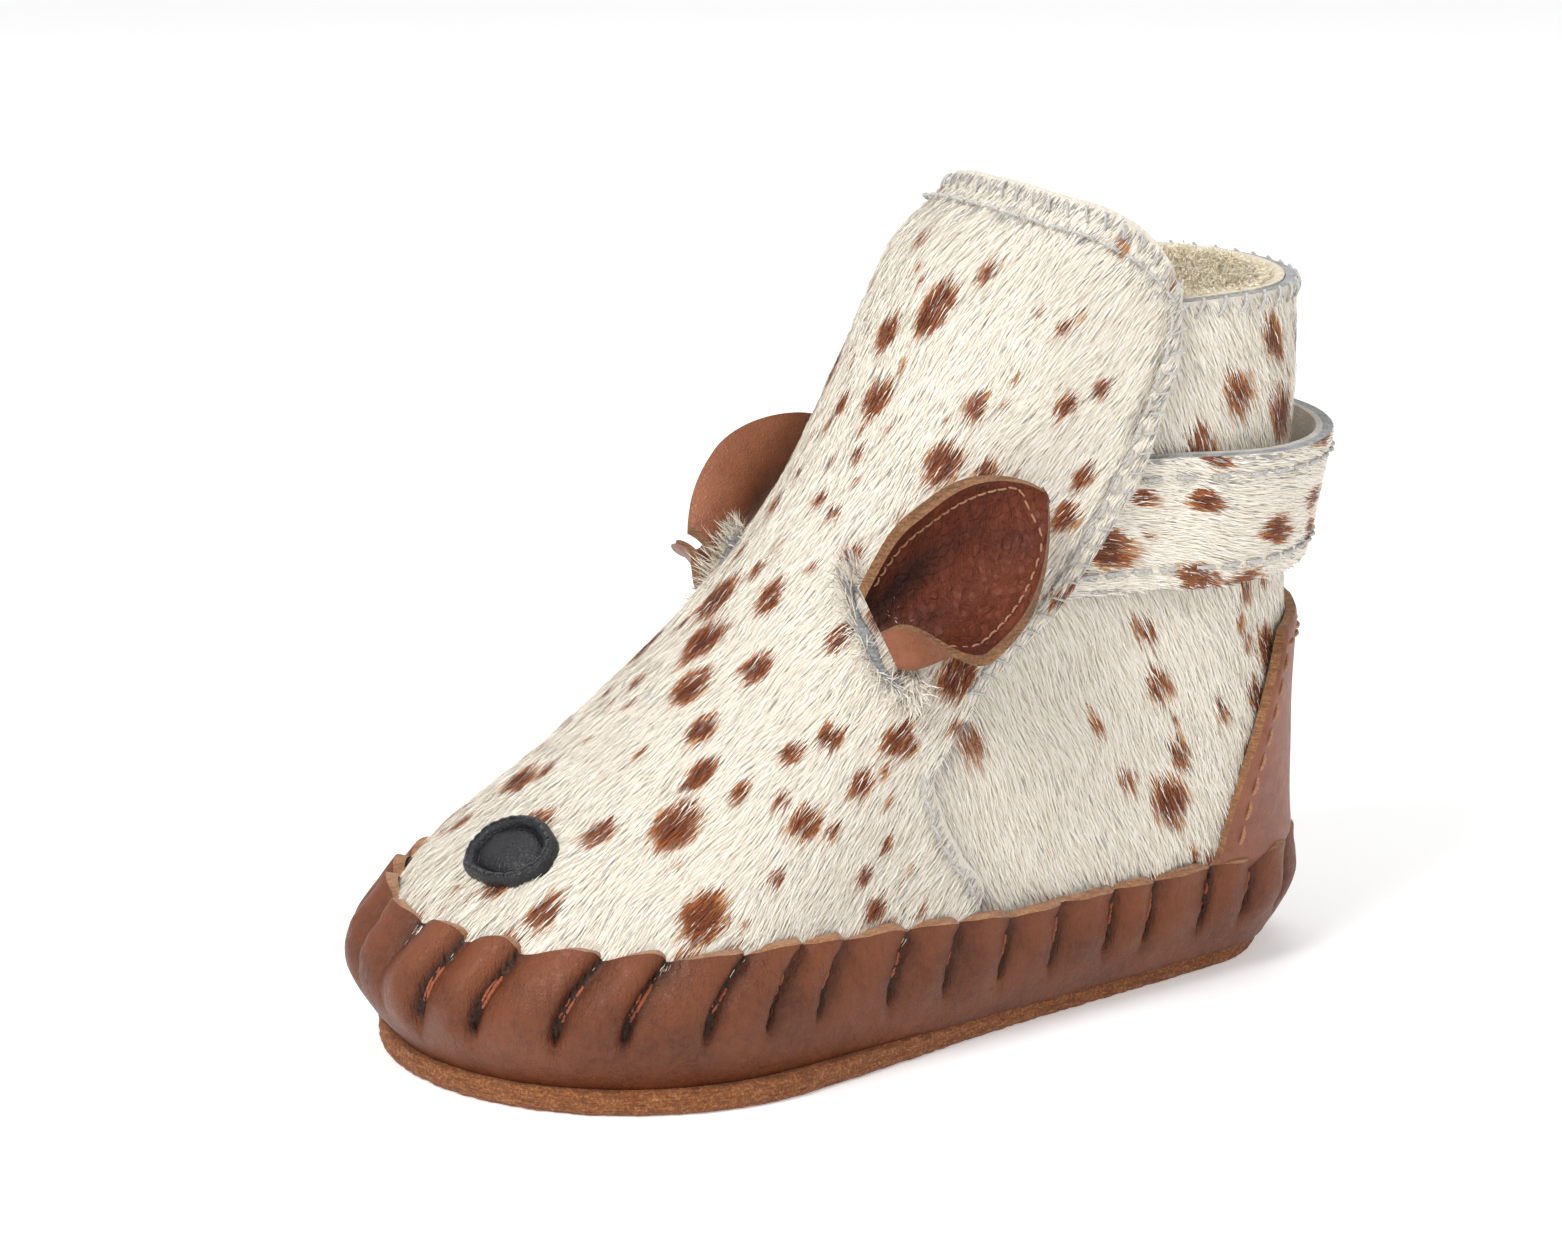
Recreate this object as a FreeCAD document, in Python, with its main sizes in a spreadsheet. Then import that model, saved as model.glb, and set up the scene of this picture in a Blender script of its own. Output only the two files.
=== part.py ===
import FreeCAD, Part
import math
import os

import Sketcher
from FreeCAD import Placement, Rotation, Vector

# A baby bootie for the left foot, in millimetres. Toe towards -Y, heel towards +Y, +Z up.
# The outer side of the foot (lateral) is +X. Every upper panel lies on one loft of level rings.
# A ring is the outline round two circles, a front one and a back one. A place on the upper is
# (turn, height, depth): turn is 0 at the toe or instep, 1 at the heel and goes on to 2 along the
# inner side; depth is measured along the outward normal.

os.makedirs("parts", exist_ok=True)
doc = FreeCAD.newDocument("BabyBootie")
sheet = doc.addObject("Spreadsheet::Sheet", "Sizes")

# ---------------------------------------------------------------- driving dimensions
SIZES = {
    # where the loft's own origin stands in the finished frame
    "origin_side": 1.5, "origin_back": -4.1,
    # sole
    "sole_front": 67.0, "sole_front_radius": 32.0, "sole_back": 56.0, "sole_back_radius": 17.5,
    "toe_inset": 1.5, "outsole_thick": 3.0, "cup_bottom": 1.6, "cup_inside": 0.3,
    "cup_outside": 2.1, "cup_toe_top": 19.5, "cup_waist_top": 16.5, "cup_heel_top": 16.0,
    "board_thick": 1.2, "footbed_thick": 3.8, "bed_inset": 4.2, "layer_gap": 0.1,
    # upper
    "hide_thick": 1.5, "lining_thick": 1.5, "quarter_depth": 1.9, "collar_height": 89.5,
    "tongue_height": 105.0, "tongue_corner": 91.0, "counter_height": 47.0, "counter_thick": 1.4,
    "panel_foot": 8.0, "vamp_ridge_top": 46.0, "vamp_side_top": 36.0,
    "tongue_ridge_foot": 55.0, "tongue_side_foot": 40.5,
    # strap
    "strap_low": 54.0, "strap_high": 70.5, "strap_split": 38.0, "strap_tip": 0.37,
    "strap_gap": 0.9, "strap_hide": 1.4, "strap_lining": 0.8, "patch_thick": 0.7,
    # ears and nose
    "ear_length": 25.5, "ear_width": 21.0, "ear_root": 12.0, "ear_leather": 0.9, "ear_lift": 9.0,
    "ear_lean": 7.0,
    "nose_long": 14.0, "nose_wide": 10.5, "nose_thick": 1.8, "nose_rim": 1.5, "nose_sink": 0.7,
    "nose_height": 27.3, "nose_turn": 0.025,
    # threads
    "thread": 0.5,
}
# level rings: height, front end, front radius, back end, back radius, sideways shift of the front
RING_NAMES = ("height", "front", "front_radius", "back", "back_radius", "shift")
RINGS = [
    (3, -65.0, 29.5, 56.5, 18.5, -1.5),
    (12, -69.0, 31.0, 59.0, 20.5, -1.5),
    (22, -62.0, 29.5, 58.0, 21.5, -1.0),
    (35, -44.0, 26.0, 57.5, 22.5, 0.0),
    (50, -25.0, 22.0, 57.5, 23.5, 0.0),
    (65, -11.0, 20.5, 57.5, 24.0, 0.0),
    (80, -2.0, 21.0, 58.0, 25.0, 0.0),
    (92, 5.0, 22.5, 58.5, 25.0, 0.0),
    (108, 17.0, 21.0, 74.0, 23.0, 0.0),
]

cells = list(SIZES.items())
for number, ring in enumerate(RINGS, 1):
    cells += [(f"ring_{what}_{number}", value) for what, value in zip(RING_NAMES, ring)]
for row, (alias, value) in enumerate(cells, 1):
    sheet.set(f"A{row}", alias)
    sheet.set(f"B{row}", str(value))
    sheet.setAlias(f"B{row}", alias)
doc.recompute()


def size(alias):
    return float(getattr(sheet, alias))


origin = Vector(size("origin_side"), -size("origin_back"), 0)
HOME = Placement(origin, Rotation())


# ---------------------------------------------------------------- the loft of rings
def smooth_table(xs, ys):
    """A monotone cubic through the points (xs, ys)."""
    gaps = [b - a for a, b in zip(xs, xs[1:])]
    slopes = [(d - c) / g for c, d, g in zip(ys, ys[1:], gaps)]
    tangents = [slopes[0]]
    for left, right, g0, g1 in zip(slopes, slopes[1:], gaps, gaps[1:]):
        if left * right <= 0:
            tangents.append(0.0)
        else:
            w0, w1 = 2 * g1 + g0, g1 + 2 * g0
            tangents.append((w0 + w1) / (w0 / left + w1 / right))
    tangents.append(slopes[-1])

    def at(x):
        x = min(max(x, xs[0]), xs[-1])
        k = max(i for i in range(len(gaps)) if x >= xs[i])
        f = (x - xs[k]) / gaps[k]
        return (ys[k] * (1 + 2 * f) * (1 - f) ** 2 + ys[k + 1] * f * f * (3 - 2 * f)
                + gaps[k] * (tangents[k] * f * (1 - f) ** 2 - tangents[k + 1] * f * f * (1 - f)))
    return at


def ring_column(what):
    return [size(f"ring_{what}_{number}") for number in range(1, len(RINGS) + 1)]


ring_at = {what: smooth_table(ring_column("height"), ring_column(what)) for what in RING_NAMES[1:]}


def ease(x, low, high):
    f = min(max((x - low) / (high - low), 0.0), 1.0)
    return f * f * (3 - 2 * f)


def on_ring(turn, height):
    """The point of the ring at this height, turn running 0 to 1 on +X and 1 to 2 on -X."""
    side = 1.0
    if turn < 0 or turn > 1:
        side = -1.0
        turn = -turn if turn < 0 else 2 - turn
    r1, r2 = ring_at["front_radius"](height), ring_at["back_radius"](height)
    ax, ay = side * ring_at["shift"](height), ring_at["front"](height) + r1
    by = ring_at["back"](height) - r2
    reach = math.hypot(ax, ay - by)
    contact = math.atan2(ax, by - ay) + math.acos((r2 - r1) / reach)
    straight = math.sqrt(reach ** 2 - (r2 - r1) ** 2)
    run = turn * (r1 * contact + straight + r2 * (math.pi - contact))
    if run < r1 * contact:
        angle = run / r1
        x, y = ax + r1 * math.sin(angle), ay - r1 * math.cos(angle)
    elif run < r1 * contact + straight:
        along = run - r1 * contact
        x = ax + r1 * math.sin(contact) + along * math.cos(contact)
        y = ay - r1 * math.cos(contact) + along * math.sin(contact)
    else:
        angle = contact + (run - r1 * contact - straight) / r2
        x, y = r2 * math.sin(angle), by - r2 * math.cos(angle)
    return Vector(side * x, y, height)


def normal(turn, height):
    step_turn, step_height = 0.004, 0.4
    around = on_ring(turn + step_turn, height) - on_ring(turn - step_turn, height)
    up = on_ring(turn, height + step_height) - on_ring(turn, height - step_height)
    return around.cross(up).normalize()


def turn_at(distance_back, height):
    """The turn on the +X side whose point stands this far back at this height."""
    low, high = 0.0, 1.0
    for _ in range(30):
        middle = (low + high) / 2
        if on_ring(middle, height).y < distance_back:
            low = middle
        else:
            high = middle
    return low


def place(turn, height, depth):
    return on_ring(turn, height) + normal(turn, height) * depth


# ---------------------------------------------------------------- making closed solids
def patch_face(rows):
    surface = Part.BSplineSurface()
    surface.interpolate(rows)
    return surface


def slab(low_rows, high_rows):
    """The closed solid between two grids of points of the same size."""
    low, high = patch_face(low_rows), patch_face(high_rows)
    faces = [low.toShape(), high.toShape()]
    u0, u1, v0, v1 = low.bounds()
    s0, s1, t0, t1 = high.bounds()
    borders = [(low.uIso(u0), high.uIso(s0)), (low.uIso(u1), high.uIso(s1)),
               (low.vIso(v0), high.vIso(t0)), (low.vIso(v1), high.vIso(t1))]
    for low_border, high_border in borders:
        side = Part.BSplineSurface()
        side.buildFromNSections([low_border, high_border])
        faces.append(side.toShape())
    skin = Part.makeCompound(faces)
    skin.sewShape(0.001)
    solid = Part.makeSolid(skin.Shells[0])
    if solid.Volume < 0:
        solid.reverse()
    return solid


def panel(where, inner, outer, across=28, along=12):
    """A panel whose grid point (u, v), both 0 to 1, is at where(u, v) = (turn, height).

    inner and outer give the depths of its faces at (u, v, turn)."""
    grids = []
    for depth in (inner, outer):
        grid = []
        for i in range(across + 1):
            line = []
            for j in range(along + 1):
                u, v = i / across, j / along
                turn, height = where(u, v)
                line.append(place(turn, height, depth(u, v, turn)))
            grid.append(line)
        grids.append(grid)
    return slab(grids[0], grids[1])


def level(depth):
    return lambda u, v, turn: depth


def add_shape(label, shape, placement=HOME):
    feature = doc.addObject("Part::Feature", label)
    feature.Label = label
    feature.Shape = shape
    feature.Placement = placement
    return feature


def stitch_row(spots, length, radius):
    """Separate threads, each a short rod on the surface, centred on spots = [(point, direction)]."""
    rods = []
    for middle, direction in spots:
        along = direction.normalize() * length
        rods.append(Part.makeCylinder(radius, length, middle - along / 2, along))
    return Part.makeCompound(rods)


def along_path(path, pitch, trim=0.6):
    """Evenly spaced (point, direction) pairs on path(f), f from 0 to 1."""
    steps = 200
    points = [path(k / steps) for k in range(steps + 1)]
    runs = [0.0]
    for a, b in zip(points, points[1:]):
        runs.append(runs[-1] + (b - a).Length)
    count = max(2, int(runs[-1] / pitch))
    spots = []
    for k in range(count):
        target = runs[-1] * (k + trim) / (count - 1 + 2 * trim)
        i = max(n for n in range(steps) if runs[n] <= target)
        f = (target - runs[i]) / (runs[i + 1] - runs[i])
        spots.append((points[i] + (points[i + 1] - points[i]) * f, points[i + 1] - points[i]))
    return spots


# ---------------------------------------------------------------- bodies with sketches
def origin_plane(body, role):
    return next(item for item in body.Origin.OriginFeatures if item.Role == role)


def new_body(label, placement=HOME):
    body = doc.addObject("PartDesign::Body", label)
    body.Label = label
    body.Placement = placement
    return body


def outline_sketch(body, name, height, front, front_radius, back, back_radius):
    """A level sketch of the outline round two circles; every size is an expression."""
    sketch = body.newObject("Sketcher::SketchObject", name)
    sketch.AttachmentSupport = [(origin_plane(body, "XY_Plane"), "")]
    sketch.MapMode = "FlatFace"
    sketch.setExpression("AttachmentOffset.Base.z", height)
    scratch = {key: sheet_value(text) for key, text in
               {"c1": f"{front} - ({front_radius})", "r1": front_radius,
                "c2": f"{back} - ({back_radius})", "r2": back_radius}.items()}
    r1, r2 = scratch["r1"], scratch["r2"]
    c1, c2 = -scratch["c1"], scratch["c2"]
    contact = math.acos((r2 - r1) / (c1 - c2) * -1)
    low, high = contact - math.pi / 2, -contact - math.pi / 2
    z_axis = Vector(0, 0, 1)

    def on_circle(centre, radius, angle):
        return Vector(radius * math.cos(angle), centre + radius * math.sin(angle), 0)

    sketch.addGeometry(Part.ArcOfCircle(Part.Circle(Vector(0, c1, 0), z_axis, r1), high, low))
    sketch.addGeometry(Part.LineSegment(on_circle(c1, r1, low), on_circle(c2, r2, low)))
    sketch.addGeometry(Part.ArcOfCircle(Part.Circle(Vector(0, c2, 0), z_axis, r2),
                                        low, high + 2 * math.pi))
    sketch.addGeometry(Part.LineSegment(on_circle(c2, r2, high), on_circle(c1, r1, high)))
    for first, second in ((0, 1), (1, 2), (2, 3), (3, 0)):
        sketch.addConstraint(Sketcher.Constraint("Tangent", first, 2, second, 1))
    sketch.addConstraint(Sketcher.Constraint("PointOnObject", 2, 3, -2))
    bound = [("DistanceX", (0, 3, -1, 1), 0.5, "Sizes.toe_inset"),
             ("DistanceY", (0, 3, -1, 1), -c1, f"{front} - ({front_radius})"),
             ("DistanceY", (-1, 1, 2, 3), c2, f"{back} - ({back_radius})")]
    for kind, ends, value, text in bound:
        number = sketch.addConstraint(Sketcher.Constraint(kind, *ends, value))
        sketch.setExpression(f"Constraints[{number}]", text)
    for arc, value, text in ((0, r1, front_radius), (2, r2, back_radius)):
        number = sketch.addConstraint(Sketcher.Constraint("Radius", arc, value))
        sketch.setExpression(f"Constraints[{number}]", text)
    return sketch


def sheet_value(text):
    """The value of a sum of sheet cells and numbers, read through a spare cell of the sheet."""
    sheet.set("D1", "=" + text.replace("Sizes.", ""))
    sheet.recompute()
    return float(sheet.get("D1"))


def ring_outline(body, name, number, grow, height=None):
    """An outline sketch on the ring of this number, grown outward by the expression grow."""
    def cell(what):
        return f"Sizes.ring_{what}_{number}"
    return outline_sketch(body, name, height or cell("height"),
                          f"(0 - {cell('front')} + {grow})", f"({cell('front_radius')} + {grow})",
                          f"({cell('back')} + {grow})", f"({cell('back_radius')} + {grow})")


def sole_layer(label, low, thick, grow):
    """A flat layer with the sole's outline, padded up from the height low."""
    body = new_body(label)
    sketch = outline_sketch(body, label + "_outline", low,
                            f"(Sizes.sole_front + {grow})", f"(Sizes.sole_front_radius + {grow})",
                            f"(Sizes.sole_back + {grow})", f"(Sizes.sole_back_radius + {grow})")
    pad = body.newObject("PartDesign::Pad", label + "_pad")
    pad.Profile = sketch
    pad.setExpression("Length", thick)
    return body, pad


def build_sole():
    body, pad = sole_layer("outsole", "0 mm", "Sizes.outsole_thick", "0")
    doc.recompute()
    rim = body.newObject("PartDesign::Chamfer", "outsole_rim")
    top = size("outsole_thick")
    edges = [f"Edge{k}" for k, edge in enumerate(pad.Shape.Edges, 1)
             if all(abs(vertex.Z) < 0.01 for vertex in edge.Vertexes)]
    rim.Base = (pad, edges)
    rim.Size = 0.4 * top / 3
    board_low = "Sizes.outsole_thick + Sizes.cup_bottom + Sizes.layer_gap"
    bed_low = board_low + " + Sizes.board_thick + Sizes.layer_gap"
    sole_layer("insole_board", board_low, "Sizes.board_thick", "(0 - Sizes.bed_inset)")
    body, pad = sole_layer("footbed", bed_low, "Sizes.footbed_thick", "(0 - Sizes.bed_inset - 1.3)")
    doc.recompute()
    soft = body.newObject("PartDesign::Fillet", "footbed_soft_edge")
    highest = pad.Shape.BoundBox.ZMax
    soft.Base = (pad, [f"Edge{k}" for k, edge in enumerate(pad.Shape.Edges, 1)
                       if all(abs(vertex.Z - highest) < 0.01 for vertex in edge.Vertexes)])
    soft.Radius = 1.2


def build_cup():
    """The pleated leather cup under and round the foot: a lofted dish, cut to its top line."""
    body = new_body("moccasin_cup")
    outer = [ring_outline(body, f"cup_outer_{k}", k, "Sizes.cup_outside") for k in (1, 2, 3)]
    loft = body.newObject("PartDesign::AdditiveLoft", "cup_block")
    loft.Profile = outer[0]
    loft.Sections = outer[1:]
    inner = [ring_outline(body, "cup_inner_1", 1, "Sizes.cup_inside",
                          "Sizes.ring_height_1 + Sizes.cup_bottom")]
    inner.append(ring_outline(body, "cup_inner_2", 2, "Sizes.cup_inside"))
    inner.append(ring_outline(body, "cup_inner_3", 3, "Sizes.cup_inside"))
    hollow = body.newObject("PartDesign::SubtractiveLoft", "cup_hollow")
    hollow.Profile = inner[0]
    hollow.Sections = inner[1:]
    trim = body.newObject("Sketcher::SketchObject", "cup_top_line")
    trim.AttachmentSupport = [(origin_plane(body, "YZ_Plane"), "")]
    trim.MapMode = "FlatFace"
    line = [(-90, "cup_toe_top"), (-30, "cup_toe_top"), (5, "cup_waist_top"), (80, "cup_heel_top")]
    corners = [Vector(y, size(name), 0) for y, name in line]
    corners += [Vector(80, 40, 0), Vector(-90, 40, 0)]
    for k, corner in enumerate(corners):
        trim.addGeometry(Part.LineSegment(corner, corners[(k + 1) % len(corners)]))
    for k in range(len(corners)):
        trim.addConstraint(Sketcher.Constraint("Coincident", k, 2, (k + 1) % len(corners), 1))
    for k, (y, name) in enumerate(line):
        number = trim.addConstraint(Sketcher.Constraint("DistanceY", -1, 1, k, 1, size(name)))
        trim.setExpression(f"Constraints[{number}]", f"Sizes.{name}")
        ends = (-1, 1, k, 1) if y > 0 else (k, 1, -1, 1)
        trim.addConstraint(Sketcher.Constraint("DistanceX", *ends, abs(y)))
    trim.addConstraint(Sketcher.Constraint("Vertical", 3))
    trim.addConstraint(Sketcher.Constraint("Vertical", 5))
    trim.addConstraint(Sketcher.Constraint("Horizontal", 4))
    trim.addConstraint(Sketcher.Constraint("DistanceY", -1, 1, 4, 1, 40))
    cut = body.newObject("PartDesign::Pocket", "cup_top_cut")
    cut.Profile = trim
    cut.Type = "ThroughAll"
    cut.SideType = "Symmetric"


def cup_top(turn):
    """Height of the cup's top edge at this turn."""
    y = on_ring(turn, size("ring_height_3")).y
    toe, waist, heel = size("cup_toe_top"), size("cup_waist_top"), size("cup_heel_top")
    if y < -30:
        return toe
    if y < 5:
        return toe + (waist - toe) * (y + 30) / 35
    return waist + (heel - waist) * (y - 5) / 75


def build_cup_stitches():
    """One upright thread in each pleat, just under the cup's top edge."""
    pleats, length, radius = 36, 5.0, size("thread") * 0.7
    spots = []
    for k in range(pleats):
        turn = 2 * (k + 0.5) / pleats
        middle = cup_top(turn) - length / 2 - 2.0
        spots.append((place(turn, middle, size("cup_outside") + radius + 0.35),
                      place(turn, middle + 1, 0) - place(turn, middle, 0)))
    add_shape("cup_stitches", stitch_row(spots, length, radius))


# ---------------------------------------------------------------- outlines of the panels
# rear edge of the vamp and tongue, from the cup up its side seam and the free edge to the top
edge_turn = smooth_table([8, 19, 25, 31, 36, 44, 50, 60, 70, 82, 92],
                         [0.53, 0.528, 0.482, 0.422, 0.384, 0.386, 0.412, 0.444, 0.468, 0.478, 0.458])
# front edge of the quarter, hidden below the vamp and tongue
quarter_turn = smooth_table([8, 20, 36, 60, 88], [0.47, 0.44, 0.29, 0.27, 0.30])


def vamp_place(u, v):
    across = 2 * u - 1
    foot = size("panel_foot")
    top = size("vamp_ridge_top") + (size("vamp_side_top") - size("vamp_ridge_top")) * across ** 2
    side = foot + v * (size("vamp_side_top") - foot)
    return across * edge_turn(side), foot + v * (top - foot)


def tongue_place(u, v):
    across = 2 * u - 1
    low = size("tongue_ridge_foot")
    low += (size("tongue_side_foot") - low) * across ** 2
    high = size("tongue_height")
    high += (size("tongue_corner") - high) * abs(across) ** 3.4
    side = size("tongue_side_foot") + v * (size("tongue_corner") - size("tongue_side_foot"))
    return across * edge_turn(side), low + v * (high - low)


def quarter_place(u, v):
    foot = size("panel_foot")
    height = foot + v * (size("collar_height") - foot)
    front = quarter_turn(height)
    return front + u * (2 - 2 * front), height


def quarter_outer(turn):
    """Depth of the quarter's outer face: it dips below the vamp and tongue."""
    around = turn if turn <= 1 else 2 - turn
    return -size("quarter_depth") * (1 - ease(around, 0.5, 0.75))


def build_upper():
    hide, lining = size("hide_thick"), size("lining_thick")
    gap = size("layer_gap")
    add_shape("vamp", panel(vamp_place, level(-hide), level(0), 32, 14))
    add_shape("tongue", panel(tongue_place, level(-hide), level(0), 32, 14))

    def vamp_lining_place(u, v):
        across = 2 * u - 1
        foot = size("panel_foot") - 1.5
        top = size("vamp_ridge_top") - 2 - 14 * across ** 2
        height = foot + v * (top - foot)
        return across * (quarter_turn(height) - 0.04), height
    add_shape("vamp_lining", panel(vamp_lining_place, level(-hide - gap - lining),
                                   level(-hide - gap), 28, 12))

    def tongue_lining_place(u, v):
        across = 2 * u - 1
        low = size("tongue_ridge_foot") + 2 - 8 * across ** 2
        high = size("tongue_height") - 1.5 - 3 * across ** 2
        height = low + v * (high - low)
        return across * 0.225, height
    add_shape("tongue_lining", panel(tongue_lining_place, level(-hide - gap - 1.0),
                                     level(-hide - gap), 18, 12))
    add_shape("quarter", panel(quarter_place,
                               lambda u, v, turn: quarter_outer(turn) - hide,
                               lambda u, v, turn: quarter_outer(turn), 56, 16))

    def quarter_lining_place(u, v):
        foot = size("panel_foot") - 1.5
        height = foot + v * (size("collar_height") - 0.6 - foot)
        front = quarter_turn(height) + 0.01
        return front + u * (2 - 2 * front), height
    add_shape("quarter_lining", panel(quarter_lining_place,
                                      lambda u, v, turn: quarter_outer(turn) - hide - gap - lining,
                                      lambda u, v, turn: quarter_outer(turn) - hide - gap,
                                      56, 16))

    def counter_place(u, v):
        across = 2 * u - 1
        low = 10.0
        high = size("counter_height") - 2.0 * across ** 2
        half = 0.218 - 0.022 * v
        return 1 + across * half, low + v * (high - low)
    inner = 0.15
    stand = 0.5
    add_shape("heel_counter", panel(counter_place,
                                    lambda u, v, turn: inner + stand * v * v,
                                    lambda u, v, turn: inner + stand * v * v
                                    + size("counter_thick") * (0.1 + 0.9 * ease(v, 0.05, 0.3)),
                                    20, 10))


# ---------------------------------------------------------------- seams of the upper
def build_upper_stitches():
    thread = size("thread")
    radius = thread / 2
    proud = radius + 0.18
    spots = []
    for side in (1, -1):
        def seam(f, side=side):
            low = cup_top(0.52) + 2
            height = low + f * (size("vamp_side_top") - 1 - low)
            return place(side * (edge_turn(height) - 0.02), height, proud)
        spots += along_path(seam, 3.2)
    add_shape("side_seam_stitches", stitch_row(spots, 2.0, radius))

    inset = 0.03

    def tongue_edge(f):
        # up one free edge, over the top and down the other, set in from the edge
        if f < 0.36:
            u, v = 1 - inset, f / 0.36 * 0.955 + 0.02
        elif f < 0.64:
            u, v = 1 - inset - (1 - 2 * inset) * (f - 0.36) / 0.28, 0.975
        else:
            u, v = inset, (1 - f) / 0.36 * 0.955 + 0.02
        turn, height = tongue_place(u, min(v, 0.95))
        return place(turn, height, proud + 0.15)
    add_shape("tongue_edge_stitches", stitch_row(along_path(tongue_edge, 3.6), 2.2, radius))

    def collar(f):
        front = 0.49
        turn = front + f * (2 - 2 * front)
        return place(turn, size("collar_height") - 1.6, quarter_outer(turn) + proud)
    spots = [(point, Vector(0, 0, 1)) for point, _ in along_path(collar, 4.0)]
    add_shape("collar_stitches", stitch_row(spots, 2.0, radius))

    def counter_seam(f):
        across = 0.86 * (1 if f < 0.5 else -1)
        v = 0.30 + 0.62 * (f * 2 if f < 0.5 else 2 - f * 2)
        half = 0.218 - 0.022 * v
        return place(1 + across * half, 10 + v * (size("counter_height") - 11.5),
                     0.15 + 0.5 * v * v + size("counter_thick") + proud)
    spots = []
    for first, last in ((0.0, 0.49), (0.51, 1.0)):
        spots += along_path(lambda f: counter_seam(first + f * (last - first)), 3.6)
    add_shape("counter_stitches", stitch_row(spots, 2.2, radius))


# ---------------------------------------------------------------- strap round the heel
def strap_base(turn):
    """Depth of the strap's inner face at its lower edge."""
    if turn <= 1:
        return -size("quarter_depth") + 0.35 + 2.3 * ease(turn, 0.5, 0.70)
    return 0.75 + 2.5 * ease(turn, 1.3, 1.55)


def strap_flare(turn):
    """How much further the upper edge stands off."""
    return 2.9 * ease(turn, 0.52, 0.8) - 2.9 * ease(turn, 1.2, 1.5)


def strap_depth(offset):
    return lambda u, v, turn: strap_base(turn) + strap_flare(turn) * v + offset


def strap_root_place(u, v):
    height = size("strap_low") + v * (size("strap_high") - size("strap_low"))
    first = edge_turn(height) + 0.022
    last = turn_at(size("strap_split") - size("strap_gap") / 2, height)
    return first + u * (last - first), height


def strap_end_place(u, v):
    height = size("strap_low") + v * (size("strap_high") - size("strap_low"))
    first = turn_at(size("strap_split") + size("strap_gap") / 2, height)
    round_tip = 0.03 * abs(2 * v - 1) ** 3
    last = 2 - size("strap_tip") - round_tip
    return first + u * (last - first), height


def build_strap():
    lining, hide, gap = size("strap_lining"), size("strap_hide"), size("layer_gap")
    for label, where, across in (("strap_root", strap_root_place, 12),
                                 ("strap_end", strap_end_place, 48)):
        add_shape(label, panel(where, strap_depth(lining + gap), strap_depth(lining + gap + hide),
                               across, 5))
        add_shape(label + "_lining", panel(where, strap_depth(0), strap_depth(lining), across, 5))
        radius = size("thread") / 2
        top = lining + gap + hide + radius + 0.08
        spots = []
        for v in (0.13, 0.87):
            def row(f, where=where, v=v):
                u = 0.04 + 0.92 * f
                turn, height = where(u, v)
                return place(turn, height, strap_depth(top)(u, v, turn))
            spots += along_path(row, 4.2)
        add_shape(label + "_stitches", stitch_row(spots, 2.4, radius))

    patch = size("patch_thick")

    def patch_place(u, v):
        middle = (size("strap_low") + size("strap_high")) / 2
        return 1.604 + 0.024 * u, middle + 12.0 * (v - 0.5)
    add_shape("hook_patch", panel(patch_place, strap_depth(-gap - patch), strap_depth(-gap), 6, 5))
    add_shape("loop_patch", panel(patch_place, level(gap), level(gap + patch), 6, 5))


# ---------------------------------------------------------------- nose
def nose_frame():
    """Placement of the nose: local Z out of the vamp, local X across the foot."""
    height = size("nose_height")
    out = normal(size("nose_turn"), height)
    across = on_ring(size("nose_turn") + 0.01, height) - on_ring(size("nose_turn") - 0.01, height)
    across.normalize()
    turn = Rotation(across, out.cross(across), out, "ZXY")
    return HOME.multiply(Placement(place(size("nose_turn"), height, 0.45), turn))


def ellipse_sketch(body, name, shrink, height):
    sketch = body.newObject("Sketcher::SketchObject", name)
    sketch.AttachmentSupport = [(origin_plane(body, "XY_Plane"), "")]
    sketch.MapMode = "FlatFace"
    sketch.setExpression("AttachmentOffset.Base.z", height)
    long_half = size("nose_long") / 2 - shrink
    wide_half = size("nose_wide") / 2 - shrink
    sketch.addGeometry(Part.Ellipse(Vector(long_half, 0, 0), Vector(0, wide_half, 0), Vector()))
    sketch.exposeInternalGeometry(0)
    sketch.addConstraint(Sketcher.Constraint("Coincident", 0, 3, -1, 1))
    sketch.addConstraint(Sketcher.Constraint("Horizontal", 1))
    for line, alias in ((1, "nose_long"), (2, "nose_wide")):
        value = size(alias) - 2 * shrink
        number = sketch.addConstraint(Sketcher.Constraint("Distance", line, 1, line, 2, value))
        text = f"Sizes.{alias} - 2 * Sizes.nose_rim" if shrink else f"Sizes.{alias}"
        sketch.setExpression(f"Constraints[{number}]", text)
    return sketch


def build_nose():
    body = new_body("nose", nose_frame())
    pad = body.newObject("PartDesign::Pad", "nose_pad")
    pad.Profile = ellipse_sketch(body, "nose_outline", 0, "0 mm")
    pad.setExpression("Length", "Sizes.nose_thick")
    sink = body.newObject("PartDesign::Pocket", "nose_dish")
    sink.Profile = ellipse_sketch(body, "nose_dish_outline", size("nose_rim"), "Sizes.nose_thick")
    sink.setExpression("Length", "Sizes.nose_sink")
    frame = nose_frame()
    radius = size("thread") / 2
    spots = []
    count = 22
    for k in range(count):
        angle = 2 * math.pi * k / count
        a = size("nose_long") / 2 - size("nose_rim") / 2
        b = size("nose_wide") / 2 - size("nose_rim") / 2
        point = Vector(a * math.cos(angle), b * math.sin(angle), size("nose_thick") + radius)
        spots.append((point, Vector(-a * math.sin(angle), b * math.cos(angle), 0)))
    add_shape("nose_stitches", stitch_row(spots, 0.9, radius), frame)


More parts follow.
